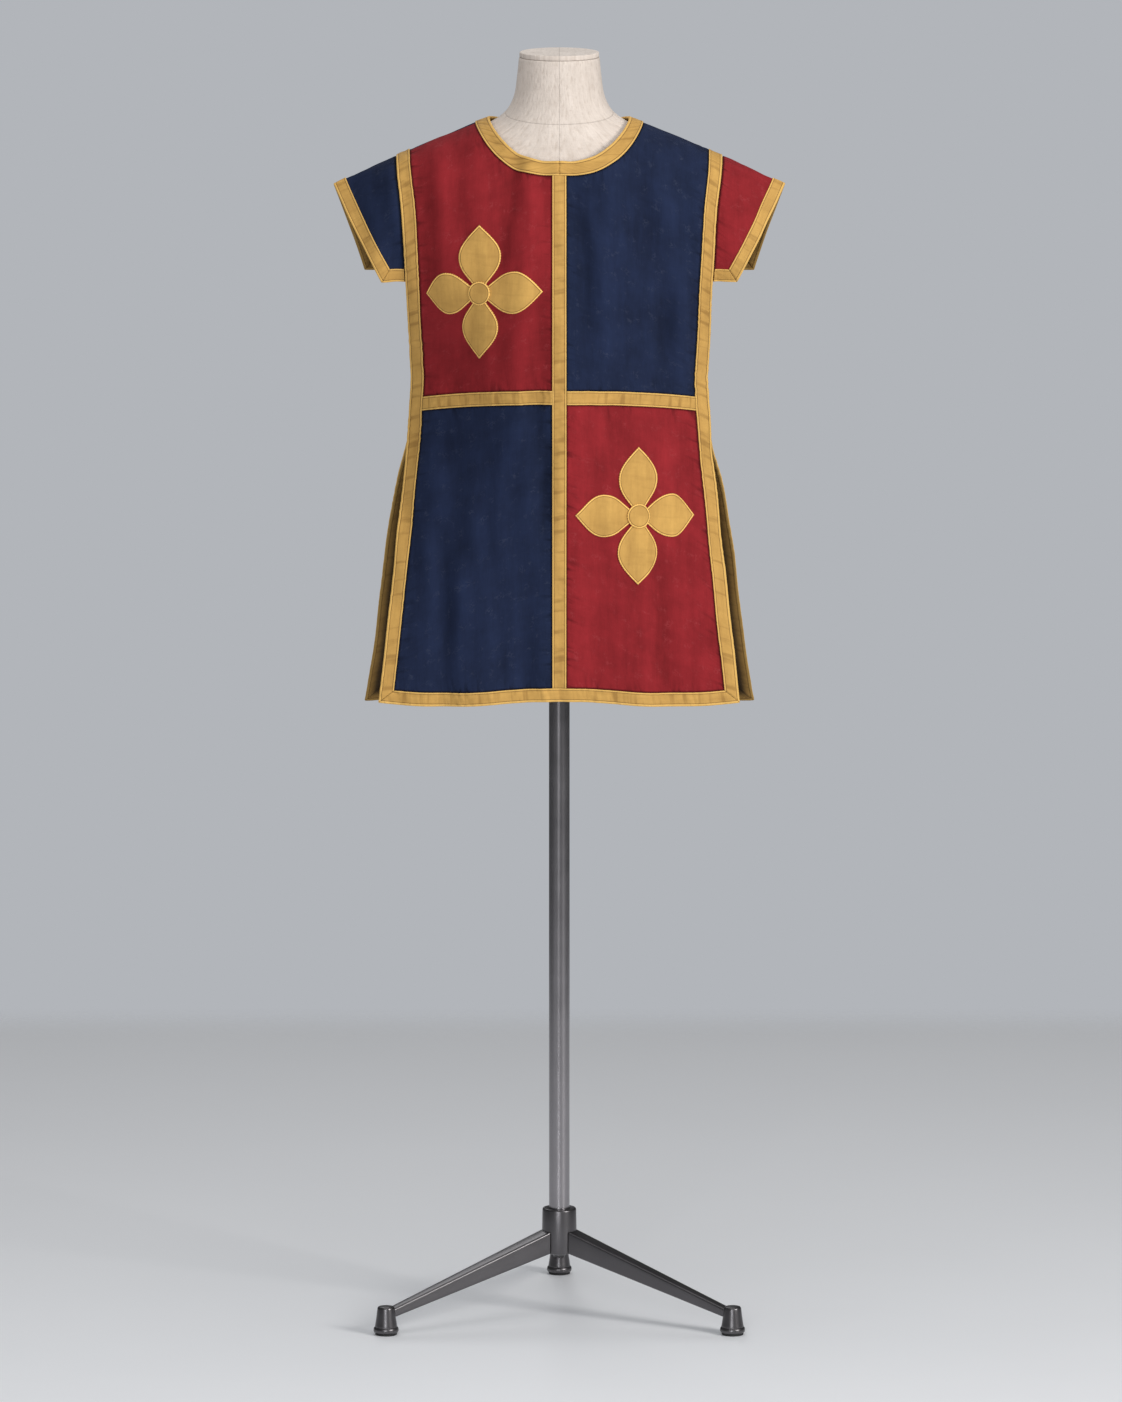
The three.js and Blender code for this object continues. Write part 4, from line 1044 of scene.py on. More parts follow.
def grainy_material(name, colour, scale, tones, bump, **sockets):
    """A plain material with a fine grain between two tones of its colour."""
    material, tree, shader = new_material(name, colour, **sockets)
    grain = noise(tree, solid_place(tree), scale, 2.0)
    shade = mixed(tree, grain, *(tinted(colour, tone) for tone in tones))
    finished(tree, shader, shade, grain, 0.3, bump)
    return material


def rubber_material(name, colour):
    """The black rubber of the foot pads."""
    return grainy_material(name, colour, 900.0, (0.8, 1.6), 0.0002, Roughness=0.7)


def thread_material(name, colour):
    """Sewing thread, darker than the tape that it lies on."""
    sockets = {"Roughness": 0.6, "Sheen_Weight": 0.2}
    return grainy_material(name, colour, 2400.0, (0.7, 1.2), 0.0001, **sockets)


def material_named(name):
    """One of the part's finishes, made the first time that it is asked for."""
    if name in bpy.data.materials:
        return bpy.data.materials[name]
    colours = bpy.context.scene.tabard_colours
    pale_metal = tinted(colours.gunmetal, 2.5)[:3]
    makers = {
        "madder cloth": lambda: woven_material(name, colours.madder, 0.55, 0.5, 0.05),
        "navy cloth": lambda: woven_material(name, colours.navy, 0.6, 0.55, 0.06),
        "gold tape": lambda: tape_material(name, colours.gold, 1.0),
        "gold applique": lambda: tape_material(name, colours.gold, 0.3),
        "gold thread": lambda: thread_material(name, colours.thread),
        "form linen": lambda: linen_material(name, colours.linen),
        "base linen": lambda: linen_material(name, colours.linen, seams=False),
        "satin gunmetal": lambda: metal_material(name, colours.gunmetal, 0.28),
        "smooth gunmetal": lambda: metal_material(name, pale_metal, 0.2),
        "black rubber": lambda: rubber_material(name, colours.rubber),
    }
    return makers[name]()


# ---------------------------------------------------------------- sizes and colours to change


class TabardCloth(bpy.types.PropertyGroup):
    """How thick the cloth is, and how it creases and is sewn"""

    cloth_thickness: bpy.props.FloatProperty(
        name="Cloth thickness", description="Thickness of a panel",
        default=0.0016, unit="LENGTH",
    )
    tape_thickness: bpy.props.FloatProperty(
        name="Tape thickness", description="Thickness of one layer of gold tape",
        default=0.001, unit="LENGTH",
    )
    applique_thickness: bpy.props.FloatProperty(
        name="Applique thickness", description="Thickness of a petal or an eye",
        default=0.0014, unit="LENGTH",
    )
    crease_depth: bpy.props.FloatProperty(
        name="Creases", description="Height of the soft creases, as a multiple of the tables' own",
        default=2.4, subtype="FACTOR",
    )
    pucker_depth: bpy.props.FloatProperty(
        name="Pucker depth", description="Height of the puckers beside the bands",
        default=0.0006, unit="LENGTH",
    )
    stitch_pitch: bpy.props.FloatProperty(
        name="Stitch pitch", description="Distance from one stitch to the next",
        default=0.0034, unit="LENGTH",
    )


class TabardColours(bpy.types.PropertyGroup):
    """The colours of the finishes"""

    madder: bpy.props.FloatVectorProperty(
        name="Madder", description="Colour of the red cloth",
        subtype="COLOR", default=hex_colour("872328"),
    )
    navy: bpy.props.FloatVectorProperty(
        name="Navy", description="Colour of the blue cloth",
        subtype="COLOR", default=hex_colour("1e2740"),
    )
    gold: bpy.props.FloatVectorProperty(
        name="Gold", description="Colour of the tape and the flowers",
        subtype="COLOR", default=hex_colour("c3964f"),
    )
    thread: bpy.props.FloatVectorProperty(
        name="Thread", description="Colour of the sewing thread",
        subtype="COLOR", default=hex_colour("8a6428"),
    )
    linen: bpy.props.FloatVectorProperty(
        name="Linen", description="Colour of the form's cover",
        subtype="COLOR", default=hex_colour("d9cdc3"),
    )
    gunmetal: bpy.props.FloatVectorProperty(
        name="Gunmetal", description="Colour of the stand",
        subtype="COLOR", default=hex_colour("636163"),
    )
    rubber: bpy.props.FloatVectorProperty(
        name="Rubber", description="Colour of the foot pads",
        subtype="COLOR", default=hex_colour("1c1c1d"),
    )


class TabardStage(bpy.types.PropertyGroup):
    """The floor, the lights and the camera"""

    floor: bpy.props.FloatVectorProperty(
        name="Floor", description="Colour of the floor",
        subtype="COLOR", default=hex_colour("f4f5f8"),
    )
    backdrop: bpy.props.FloatVectorProperty(
        name="Backdrop", description="Colour behind the floor",
        subtype="COLOR", default=hex_colour("b2b5ba"),
    )
    key_power: bpy.props.FloatProperty(
        name="Key light", description="Power of the light at the front, to one side",
        default=240.0, unit="POWER",
    )
    front_power: bpy.props.FloatProperty(
        name="Front light", description="Power of the upright light in front",
        default=175.0, unit="POWER",
    )
    top_power: bpy.props.FloatProperty(
        name="Top light", description="Power of the light overhead",
        default=42.0, unit="POWER",
    )
    rear_power: bpy.props.FloatProperty(
        name="Rear light", description="Power of the soft light behind",
        default=60.0, unit="POWER",
    )
    distance: bpy.props.FloatProperty(
        name="Camera distance", description="From the camera to the pole",
        default=18.0, unit="LENGTH",
    )
    height: bpy.props.FloatProperty(
        name="Camera height", description="Height of the camera",
        default=3.793, unit="LENGTH",
    )
    pitch: bpy.props.FloatProperty(
        name="Camera pitch", description="How far the camera looks down",
        default=math.radians(9.4), subtype="ANGLE",
    )
    focal_length: bpy.props.FloatProperty(
        name="Focal length", description="Focal length of the lens, in millimetres",
        default=360.46,
    )


# ---------------------------------------------------------------- the pieces


def steps(count, first=0):
    """Even steps from first to 1."""
    return np.linspace(first, 1, count)


class TABARD_OT_front_quarters(bpy.types.Operator):
    """The four quarters of the front, red and blue in turn"""

    bl_idname = "tabard.front_quarters"
    bl_label = "Front quarters"

    def execute(self, context):
        above = lambda x: cross_seam(x) + GAP / 2
        below = lambda x: cross_seam(x) - GAP / 2
        hem = lambda x: hemline(x, FRONT)
        for name, side in SIDES.items():
            upper, lower = ("madder", "navy") if side == RIGHT else ("navy", "madder")
            self.quarter(f"front_upper_{name}", side, upper, above)
            self.quarter(f"front_lower_{name}", side, lower, hem, below)
        return {"FINISHED"}

    def quarter(self, node, side, cloth, bottom_at, top_at=None):
        def place(u, v):
            x, length = panel_place(u, v, FRONT, bottom_at, top_at)
            return side * x, length

        thickness = bpy.context.scene.tabard_cloth.cloth_thickness
        draped(f"{node}_panel", steps(78), steps(140), place, f"{cloth} cloth", [node], thickness)


class TABARD_OT_back_panel(bpy.types.Operator):
    """The plain blue back"""

    bl_idname = "tabard.back_panel"
    bl_label = "Back panel"

    def execute(self, context):
        def place(u, v):
            x, length = panel_place(np.abs(u), v, BACK, lambda x: hemline(x, BACK))
            return np.sign(u) * x, length

        thickness = context.scene.tabard_cloth.cloth_thickness
        across, down = steps(141, -1), steps(230)
        draped("back_panel", across, down, place, "navy cloth", ["back"], thickness)
        return {"FINISHED"}


class TABARD_OT_wings(bpy.types.Operator):
    """The shoulder wings, one over each arm opening"""

    bl_idname = "tabard.wings"
    bl_label = "Wings"

    def execute(self, context):
        for name, side in SIDES.items():
            draped(
                f"wing_{name}_panel", steps(34), steps(161, -1),
                lambda u, v: wing_panel_place(u, v, side),
                "navy cloth" if side == RIGHT else "madder cloth", [f"wing_{name}"],
                context.scene.tabard_cloth.cloth_thickness,
            )
        return {"FINISHED"}


class TABARD_OT_bindings(bpy.types.Operator):
    """The gold tape folded over every edge"""

    bl_idname = "tabard.bindings"
    bl_label = "Bindings"

    def execute(self, context):
        binding("neck_tape", neck_place, steps(201), ["neck_binding"], closed=True)
        for word, face in FACES.items():
            binding(
                f"{word}_hem_tape", lambda inset, s: hem_place(inset, s, face),
                steps(191, -1), [f"{word}_hem_binding"],
            )
            for name, side in SIDES.items():
                binding(
                    f"{word}_side_tape_{name}",
                    lambda inset, s: side_place(inset, s, side, face),
                    steps(221), [f"{word}_side_binding_{name}"],
                )
                binding(
                    f"wing_{word}_hem_tape_{name}",
                    lambda inset, s: wing_hem_place(inset, s, side, face),
                    steps(16), [f"wing_{word}_hem_{name}"],
                )
        for name, side in SIDES.items():
            binding(
                f"wing_edge_tape_{name}", lambda inset, s: wing_edge_place(inset, s, side),
                steps(161, -1), [f"wing_edge_binding_{name}"],
            )
        return {"FINISHED"}


class TABARD_OT_front_bands(bpy.types.Operator):
    """The gold bands that quarter the front"""

    bl_idname = "tabard.front_bands"
    bl_label = "Front bands"

    def execute(self, context):
        flat_band("centre_tape", centre_place, 241, ["centre_band"])
        for name, side in SIDES.items():
            flat_band(
                f"cross_tape_{name}", lambda inset, s: cross_place(inset, s, side),
                81, [f"cross_band_{name}"],
            )
        return {"FINISHED"}


def curve_points(corners, count):
    """Points of a Bezier curve, without its last one."""
    start, rise, fall, end = (np.array(c, float) for c in corners)
    t = np.linspace(0, 1, count, endpoint=False)[:, None]
    s = 1 - t
    return s**3 * start + 3 * s**2 * t * rise + 3 * s * t * t * fall + t**3 * end


def petal_outline(degrees):
    """One petal's edge, at an angle about the flower's centre, drawn anticlockwise."""
    root, root_half, belly, half = PETAL.values()
    tip = PETAL_TIP["upright" if degrees % 180 else "level"]
    rise = curve_points([
        (root, root_half),
        (lerp(root, belly, 0.3), lerp(root_half, half, 0.4)),
        (lerp(root, belly, 0.55), half),
        (belly, half),
    ], 14)
    fall = curve_points([
        (belly, half),
        (lerp(belly, tip, 0.42), half),
        (lerp(belly, tip, 0.72), half * 0.4),
        (tip, 0),
    ], 16)
    upper = np.concatenate([rise, fall])
    a = math.radians(degrees)
    turn = np.array([[math.cos(a), math.sin(a)], [-math.sin(a), math.cos(a)]])
    return np.concatenate([upper * (1, -1), [(tip, 0.0)], upper[::-1]]) @ turn


def eye_outline():
    turn = np.linspace(0, 2 * math.pi, 48, endpoint=False)
    return EYE_RADIUS * np.stack([np.cos(turn), np.sin(turn)], axis=-1)


def flower_patches():
    """The flowers' patches: the flower, the name, the outline and the place in the pile of each."""
    for flower_name, flower in FLOWERS.items():
        for name, degrees in PETALS.items():
            yield flower, f"{flower_name}_petal_{name}", petal_outline(degrees), 0
        yield flower, f"{flower_name}_eye", eye_outline(), 1


def patch_lift(layer, share=0.5):
    """How far above a panel's middle a patch has its own middle, or its top for 1."""
    thickness = bpy.context.scene.tabard_cloth.applique_thickness
    return lift_of(thickness, share) + layer * (thickness / MM + GAP)


def distance_to_outline(points, outline):
    """How far flat points lie from a closed outline."""
    ends = np.roll(outline, -1, axis=0)
    run = ends - outline
    t = ((points[:, None] - outline) * run).sum(-1) / (run**2).sum(-1)
    nearest = outline + run * np.clip(t, 0, 1)[..., None]
    return np.linalg.norm(points[:, None] - nearest, axis=-1).min(axis=1)


def cut_patch(outline, name, mesh_size=3.5):
    """A flat patch cut to an outline, with a grid of edges across it."""
    bm = bmesh.new()
    bm.faces.new([bm.verts.new((*point, 0)) for point in outline])
    low, high = outline.min(axis=0), outline.max(axis=0)
    for axis in (0, 1):
        count = int((high[axis] - low[axis]) / mesh_size)
        for value in np.linspace(low[axis], high[axis], count + 2)[1:-1]:
            spot, normal = [0, 0, 0], [0, 0, 0]
            spot[axis], normal[axis] = value, 1
            whole = bm.verts[:] + bm.edges[:] + bm.faces[:]
            bmesh.ops.bisect_plane(bm, geom=whole, dist=1e-4, plane_co=spot, plane_no=normal)
    return to_mesh(bm, name)


def on_flower(flower, flat):
    """Places on the cloth for flat points about a flower's centre."""
    z = flower["z"] + flat[:, 1] + flower["droop"] * flat[:, 0]
    middle = flower["x"] + flat[:, 0] / 2
    length = -length_to(ridge_at(middle) - z)
    slope = (middle_surface(middle + 2, length) - middle_surface(middle - 2, length))[:, 1] / 4
    x = flower["x"] + flat[:, 0] / np.hypot(1, slope)
    return x, -length_to(ridge_at(x) - z)


class TABARD_OT_flowers(bpy.types.Operator):
    """The two raised flowers, each of four petals and an eye"""

    bl_idname = "tabard.flowers"
    bl_label = "Flowers"

    def execute(self, context):
        for flower, node, outline, layer in flower_patches():
            mesh = cut_patch(outline, f"{node}_patch")
            flat = np.array([v.co.xy for v in mesh.vertices], float)
            margin = distance_to_outline(flat, outline)
            x, length = on_flower(flower, flat)
            points, normals = cloth_points(x, length, patch_lift(layer) + stitch_line(margin))
            mark_mesh(mesh, points, flat, {"fold": relief(x, length), "margin": margin})
            face_outwards(mesh, normals)
            piece = add_piece(mesh, f"{node}_patch", "gold applique", [node])
            solidify(piece, context.scene.tabard_cloth.applique_thickness)
        return {"FINISHED"}


def repeated(mesh, count, name):
    """A mesh that holds count copies of a small one, by doubling it."""
    bm = bmesh.new()
    while True:
        if count % 2:
            bm.from_mesh(mesh)
        count //= 2
        if not count:
            return to_mesh(bm, name)
        double = bmesh.new()
        double.from_mesh(mesh)
        double.from_mesh(mesh)
        double.to_mesh(mesh)
        double.free()


def stitch_rows(name, rows):
    """Short threads laid end to end on lines of points with their normals."""
    pitch = bpy.context.scene.tabard_cloth.stitch_pitch / MM
    bm = bmesh.new()
    bmesh.ops.create_uvsphere(bm, u_segments=6, v_segments=4, radius=1)
    half_sizes = (STITCH["length"] * pitch, STITCH["width"], STITCH["height"])
    bmesh.ops.scale(bm, vec=half_sizes, verts=bm.verts)
    stitch = to_mesh(bm, "stitch")
    shape = np.array([v.co for v in stitch.vertices])
    points, normals, ways = [], [], []
    for line, up in rows:
        run = np.concatenate([[0], np.cumsum(np.linalg.norm(np.diff(line, axis=0), axis=1))])
        at = np.arange(pitch / 2, run[-1], pitch)
        read = lambda values, at: np.stack([np.interp(at, run, v) for v in values.T], axis=-1)
        points.append(read(line, at))
        ways.append(read(line, at + 0.5) - points[-1] + 1e-9)
        normals.append(read(up, at))
    points, normals, ways = (np.concatenate(part) for part in (points, normals, ways))
    ways /= np.linalg.norm(ways, axis=1, keepdims=True)
    beside = np.cross(normals, ways)
    beside /= np.linalg.norm(beside, axis=1, keepdims=True)
    axes = np.stack([ways, beside, np.cross(ways, beside)], axis=1)
    corners = points[:, None] + np.einsum("vk,nkc->nvc", shape, axes)
    mesh = repeated(stitch, len(points), name)
    bpy.data.meshes.remove(stitch)
    mesh.vertices.foreach_set("co", to_row(corners.reshape(-1, 3)).ravel())
    mesh.update()
    add_piece(mesh, name, "gold thread")


class TABARD_OT_stitching(bpy.types.Operator):
    """The rows of stitches along the tapes and round the petals"""

    bl_idname = "tabard.stitching"
    bl_label = "Stitching"

    def execute(self, context):
        lift = lift_of(context.scene.tabard_cloth.tape_thickness, 1.0) - STITCH["sunk"]

        def line(place, s, width=BAND):
            insets = (STITCH["inset"], width - STITCH["inset"])
            return [cloth_points(*place(inset + 0 * s, s), lift) for inset in insets]

        long, short = steps(600), steps(60)
        body, wings = line(neck_place, steps(400)), []
        body += line(centre_place, long, STRIP)
        for face in FACES.values():
            body += line(lambda inset, s: hem_place(inset, s, face), steps(400, -1))
            for side in SIDES.values():
                body += line(lambda inset, s: side_place(inset, s, side, face), long)
                wings += line(lambda inset, s: wing_hem_place(inset, s, side, face), short)
        for side in SIDES.values():
            body += line(lambda inset, s: cross_place(inset, s, side), short, STRIP)
            wings += line(lambda inset, s: wing_edge_place(inset, s, side), steps(300, -1))
        stitch_rows("body_stitches", body)
        stitch_rows("wing_stitches", wings)
        patches = [
            self.patch_row(flower, outline, layer) for flower, _, outline, layer in flower_patches()
        ]
        stitch_rows("flower_stitches", patches)
        return {"FINISHED"}

    def patch_row(self, flower, outline, layer):
        """The row along a patch's edge, without the part of a petal's that the eye covers."""
        shown = np.hypot(*outline.T) > EYE_RADIUS + 0.5
        if shown.any():
            start = int(np.argmin(shown))
            outline = np.roll(outline, -start, axis=0)[np.roll(shown, -start)]
        x, length = on_flower(flower, outline)
        return cloth_points(x, length, patch_lift(layer, 1.0) - STITCH["sunk"])


class TABARD_OT_dress_form(bpy.types.Operator):
    """The linen-covered form, its neck cap and its board"""

    bl_idname = "tabard.dress_form"
    bl_label = "Dress form"

    def execute(self, context):
        self.torso()
        self.cap()
        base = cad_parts["form_base"]
        base.data.materials.clear()
        base.data.materials.append(material_named("base linen"))
        return {"FINISHED"}

    def torso(self):
        angles = np.linspace(0, 2 * math.pi, 161)
        levels = np.concatenate([
            np.arange(868, 1480, 9.0), np.arange(1480, 1566, 3.0), np.arange(1566, 1600, 1.0),
            np.arange(1600, 1655, 2.5), [1653.8, 1655],
        ])
        a, z = grid_values(angles, levels)
        c, s = np.cos(a), np.sin(a)
        half, front, back, power = (
            read_table(FORM, column, z) for column in ("half", "front", "back", "power")
        )
        collar = z - COLLAR_SEAM["z"] - COLLAR_SEAM["tilt"] * s
        from_top = z - levels[-1]
        groove = 0.45 * np.exp(-((collar / 0.9) ** 2)) + 0.6 * np.exp(-((from_top / 0.9) ** 2))
        depth = np.where(s < 0, front, back) - groove
        x = (half - groove) * np.sign(c) * np.abs(c) ** (2 / power)
        y = depth * np.sign(s) * np.abs(s) ** (2 / power)
        mesh = grid_mesh("form_torso_cover", angles, levels)
        flat = np.stack([a * FORM_TURN, z], axis=-1)
        mark_mesh(mesh, np.stack([x, y, z], axis=-1), flat, {"collar": collar})
        merged(mesh, fill=True)
        mesh.set_sharp_from_angle(angle=math.radians(50))
        add_piece(mesh, "form_torso_cover", "form linen", ["form_torso"])

    def cap(self):
        bm = bmesh.new()
        bmesh.ops.create_circle(bm, cap_ends=True, segments=96, radius=1)
        for vert in bm.verts:
            depth = CAP[FRONT if vert.co.y < 0 else BACK]
            vert.co = (CAP["half"] * vert.co.x, depth * vert.co.y, CAP["bottom"])
        top = bmesh.ops.extrude_face_region(bm, geom=bm.faces[:])
        raised = [g for g in top["geom"] if isinstance(g, bmesh.types.BMVert)]
        bmesh.ops.translate(bm, vec=(0, 0, CAP["thickness"]), verts=raised)
        level = lambda edge: abs(edge.verts[0].co.z - edge.verts[1].co.z) < 0.01
        rims = [e for e in bm.edges if level(e) and len(e.link_faces) == 2]
        bmesh.ops.bevel(
            bm, geom=rims, offset=CAP["rim"], affect="EDGES", segments=4, profile=0.5,
            material=-1, offset_type="OFFSET",
        )
        for step in (2.0, 6.0, 14.0):
            tops = (f for f in bm.faces if f.normal.z > 0.9)
            crown = max(tops, key=lambda f: f.calc_area())
            bmesh.ops.inset_region(bm, faces=[crown], thickness=step, use_even_offset=True)
        bmesh.ops.recalc_face_normals(bm, faces=bm.faces)
        mesh = to_mesh(bm, "form_cap_cover")
        points = np.array([v.co for v in mesh.vertices], float)
        far_from_seam = np.full(len(points), 50.0)
        mark_mesh(mesh, points, points[:, :2], {"collar": far_from_seam})
        mesh.set_sharp_from_angle(angle=math.radians(40))
        add_piece(mesh, "form_cap_cover", "form linen", ["form_neck_cap"])


class TABARD_OT_stand(bpy.types.Operator):
    """The pole, the hub, the three legs and their feet"""

    bl_idname = "tabard.stand"
    bl_label = "Stand"

    def execute(self, context):
        pole = (0.0, -POLE_FORWARD)
        radius, bottom, top, chamfer = POLE.values()
        outline = [
            (0, bottom), (radius, bottom), (radius, top - chamfer), (radius - chamfer, top),
            (0, top),
        ]
        turned("stand_pole", outline, pole, "smooth gunmetal", ["pole"])
        turned("stand_hub", self.hub_outline(), pole, "satin gunmetal", ["hub"])
        for name, degrees in LEG_ANGLES.items():
            a = math.radians(degrees)
            centre = (LEG["reach"] * math.cos(a), LEG["reach"] * math.sin(a) - POLE_FORWARD)
            self.leg(name, a)
            turned(
                f"stand_foot_{name}", FOOT_OUTLINE, centre, "satin gunmetal",
                [f"foot_{name}"], 48,
            )
            turned(
                f"stand_pad_{name}", PAD_OUTLINE, centre, "black rubber",
                [f"foot_pad_{name}"], 48,
            )
        return {"FINISHED"}

    def hub_outline(self):
        top, bottom, radius, floor, shoulder = HUB.values()
        bore = POLE["radius"] + GAP
        return [
            (0, bottom), (radius - 2.0, bottom), (radius - 0.6, bottom + 0.6),
            (radius, bottom + 2.0), (radius, shoulder), (radius - 0.5, top - 2.4),
            (radius - 0.9, top - 1.0), (radius - 1.9, top - 0.1), (radius - 2.6, top),
            (bore + 1.0, top), (bore + 0.3, top - 0.3), (bore, top - 1.0), (bore, floor),
            (0, floor),
        ]

    def leg(self, name, angle):
        """A tapering box leg with rounded edges."""
        bm = bmesh.new()
        bmesh.ops.create_cube(bm, size=1)
        for vert in bm.verts:
            x, end = (LEG["root"], LEG_ROOT) if vert.co.x < 0 else (LEG["tip"], LEG_TIP)
            y = math.copysign(end["width"] / 2, vert.co.y)
            vert.co = (x, y, end["top" if vert.co.z > 0 else "bottom"])
        long_edges = [e for e in bm.edges if abs(e.verts[0].co.x - e.verts[1].co.x) > 10]
        bmesh.ops.bevel(
            bm, geom=long_edges, offset=LEG["bevel"], affect="EDGES", segments=4, profile=0.5,
            material=-1,
        )
        place = Matrix.Translation((0, -POLE_FORWARD * MM, 0)) @ Matrix.Rotation(angle, 4, "Z")
        bmesh.ops.transform(bm, matrix=place @ Matrix.Scale(MM, 4), verts=bm.verts)
        bmesh.ops.recalc_face_normals(bm, faces=bm.faces)
        # The inner rows of the rounded edges get the mark for the painted highlight.
        flats = {f for f in bm.faces if f.calc_area() > 1e-4 or len(f.verts) > 4}
        beside = lambda vert: any(f in flats and len(f.verts) == 4 for f in vert.link_faces)
        worn = [float(not beside(vert)) for vert in bm.verts]
        mesh = to_mesh(bm, f"stand_leg_{name}")
        mesh.attributes.new("worn", "FLOAT", "POINT").data.foreach_set("value", worn)
        mesh.set_sharp_from_angle(angle=math.radians(40))
        add_piece(mesh, f"stand_leg_{name}", "satin gunmetal", [f"leg_{name}"])


# ---------------------------------------------------------------- the stage


class TABARD_OT_stage(bpy.types.Operator):
    """A pale floor, soft lights and the camera"""

    bl_idname = "tabard.stage"
    bl_label = "Stage"

    def execute(self, context):
        settings = context.scene.tabard_stage
        context.scene.view_settings.view_transform = "Standard"
        self.floor(settings)
        self.backdrop(settings)
        for name, (place, size, colour) in LIGHTS.items():
            self.light(name, place, size, colour, getattr(settings, f"{name}_power"))
        camera = bpy.data.objects.new("Camera", bpy.data.cameras.new("Camera"))
        context.scene.collection.objects.link(camera)
        camera.location = (0.0022, -POLE_FORWARD * MM - settings.distance, settings.height)
        camera.rotation_euler = (math.pi / 2 - settings.pitch, 0, 0)
        camera.data.lens = settings.focal_length
        camera.data.sensor_width = 36.0
        camera.data.clip_end = 200.0
        context.scene.camera = camera
        return {"FINISHED"}

    def floor(self, settings):
        """A floor with painted light that darkens away from the stand, and fades out at its edge.
        """
        bm = bmesh.new()
        bmesh.ops.create_grid(bm, x_segments=8, y_segments=8, size=6.0)
        mesh = to_mesh(bm, "floor")
        floor = bpy.data.objects.new("floor", mesh)
        bpy.context.scene.collection.objects.link(floor)
        colour = settings.floor
        material, tree, shader = new_material(
            "pale floor", colour, Roughness=0.42, Specular_IOR_Level=0.22,
        )
        place = solid_place(tree)
        split = add_node(tree, "ShaderNodeSeparateXYZ", {0: place}).outputs
        away = calc(tree, "MAXIMUM", *(calc(tree, "ABSOLUTE", split[i]) for i in (0, 1)))
        shown = ramp(tree, away, 1.86, 2.12, interpolation_type="SMOOTHSTEP")
        # Painted light: brightest along a line 0.7 m in front of the origin, darker away from it.
        apart = calc(tree, "ABSOLUTE", calc(tree, "ADD", split[1], 0.7))
        painted_floor_light = calc(tree, "MULTIPLY_ADD", apart, -0.36, 1.0, clamp=True)
        shade = mixed(tree, painted_floor_light, tinted(colour, 0.72), tinted(colour, 1.0))
        shade = painted(tree, shade, noise(tree, place, 2.2, 4.0), 0.12, tinted(colour, 0.6))
        tree.links.new(shade, shader.inputs["Base Color"])
        tree.links.new(shown, shader.inputs["Alpha"])
        mesh.materials.append(material)

    def backdrop(self, settings):
        """A plain colour to the camera, and a weak light of its own for the rest."""
        world = bpy.data.worlds.new("backdrop")
        bpy.context.scene.world = world
        world.use_nodes = True
        tree = world.node_tree
        soft_white = (0.94, 0.97, 1.0, 1)
        seen, lit, reflected = (
            add_node(tree, "ShaderNodeBackground", {"Color": colour, "Strength": strength})
            for colour, strength in (
                ((*settings.backdrop, 1), 1.0), (soft_white, 0.34), (soft_white, 0.07),
            )
        )
        ray = add_node(tree, "ShaderNodeLightPath").outputs
        shown = lit
        for kind, light in (("Is Glossy Ray", reflected), ("Is Camera Ray", seen)):
            inputs = {0: ray[kind], 1: shown.outputs[0], 2: light.outputs[0]}
            shown = add_node(tree, "ShaderNodeMixShader", inputs)
        tree.links.new(shown.outputs[0], tree.nodes["World Output"].inputs["Surface"])

    def light(self, name, place, size, colour, power):
        lamp = bpy.data.lights.new(name, "AREA")
        lamp.shape = "RECTANGLE"
        lamp.size, lamp.size_y = size
        lamp.energy = power
        lamp.color = colour
        light = bpy.data.objects.new(name, lamp)
        bpy.context.scene.collection.objects.link(light)
        light.location = place
        aim = Vector(LIGHTS_AIM) - light.location
        light.rotation_euler = aim.to_track_quat("-Z", "Y").to_euler()


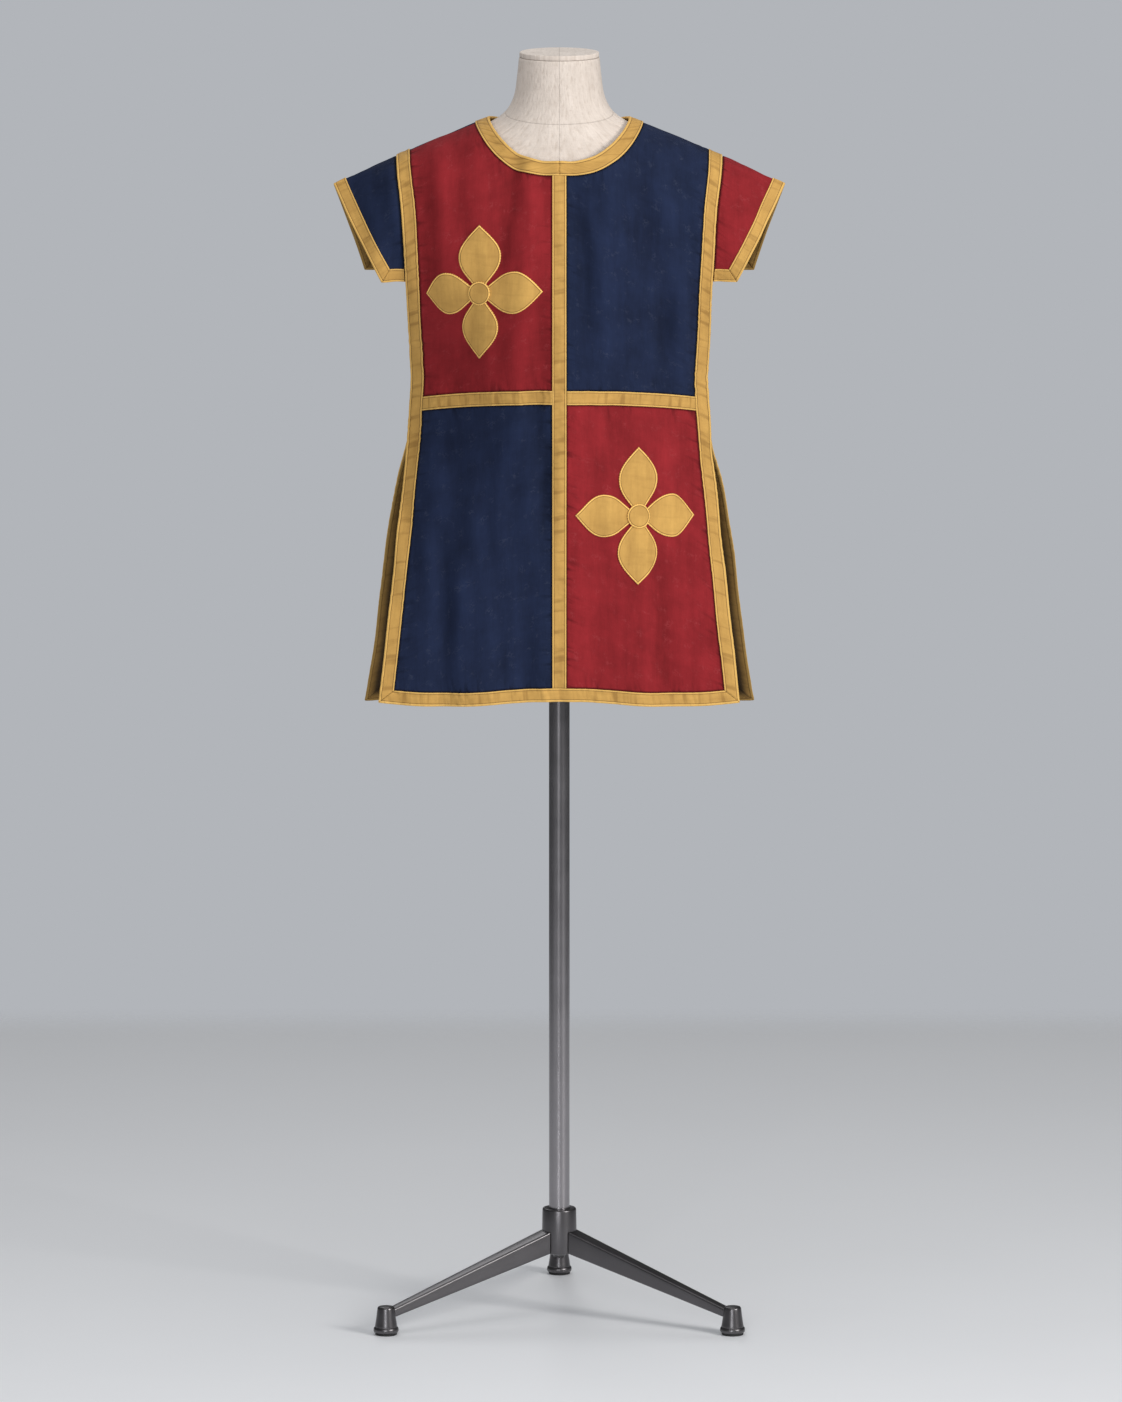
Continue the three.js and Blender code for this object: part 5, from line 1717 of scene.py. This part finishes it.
class TABARD_OT_cuts(bpy.types.Operator):
    """Makes a list of the tapes round each wing, with the wing stitches for the right one, and does
    nothing more with it
    """

    bl_idname = "tabard.cuts"
    bl_label = "Cuts of the cloth"

    def execute(self, context):
        for name in SIDES:
            others = [f"wing_{edge}_tape_{name}" for edge in ("edge", "front_hem", "back_hem")]
            if name == "right":
                others.append("wing_stitches")
        return {"FINISHED"}


# ---------------------------------------------------------------- the add-on

OPERATORS = (
    TABARD_OT_stage,
    TABARD_OT_front_quarters,
    TABARD_OT_back_panel,
    TABARD_OT_wings,
    TABARD_OT_bindings,
    TABARD_OT_front_bands,
    TABARD_OT_flowers,
    TABARD_OT_stitching,
    TABARD_OT_dress_form,
    TABARD_OT_stand,
    TABARD_OT_cuts,
)


class TABARD_PT_panel(bpy.types.Panel):
    """Sizes, colours and pieces of the tabard"""

    bl_idname = "TABARD_PT_panel"
    bl_label = "Quartered tabard"
    bl_space_type = "VIEW_3D"
    bl_region_type = "UI"
    bl_category = "Tabard"

    def draw(self, context):
        for group in ("tabard_cloth", "tabard_colours", "tabard_stage"):
            box = self.layout.box()
            settings = getattr(context.scene, group)
            for key in settings.bl_rna.properties.keys():
                if key not in ("rna_type", "name"):
                    box.prop(settings, key)
        for operator in OPERATORS:
            self.layout.operator(operator.bl_idname)


CLASSES = (TabardCloth, TabardColours, TabardStage, *OPERATORS, TABARD_PT_panel)


def register():
    for each in CLASSES:
        bpy.utils.register_class(each)
    bpy.types.Scene.tabard_cloth = bpy.props.PointerProperty(type=TabardCloth)
    bpy.types.Scene.tabard_colours = bpy.props.PointerProperty(type=TabardColours)
    bpy.types.Scene.tabard_stage = bpy.props.PointerProperty(type=TabardStage)


def unregister():
    del bpy.types.Scene.tabard_stage
    del bpy.types.Scene.tabard_colours
    del bpy.types.Scene.tabard_cloth
    for each in reversed(CLASSES):
        bpy.utils.unregister_class(each)


def main():
    register()
    bpy.ops.tabard.stage()
    bpy.ops.tabard.front_quarters()
    bpy.ops.tabard.back_panel()
    bpy.ops.tabard.wings()
    bpy.ops.tabard.bindings()
    bpy.ops.tabard.front_bands()
    bpy.ops.tabard.flowers()
    bpy.ops.tabard.stitching()
    bpy.ops.tabard.dress_form()
    bpy.ops.tabard.stand()
    bpy.ops.tabard.cuts()


if __name__ == "__main__":
    main()
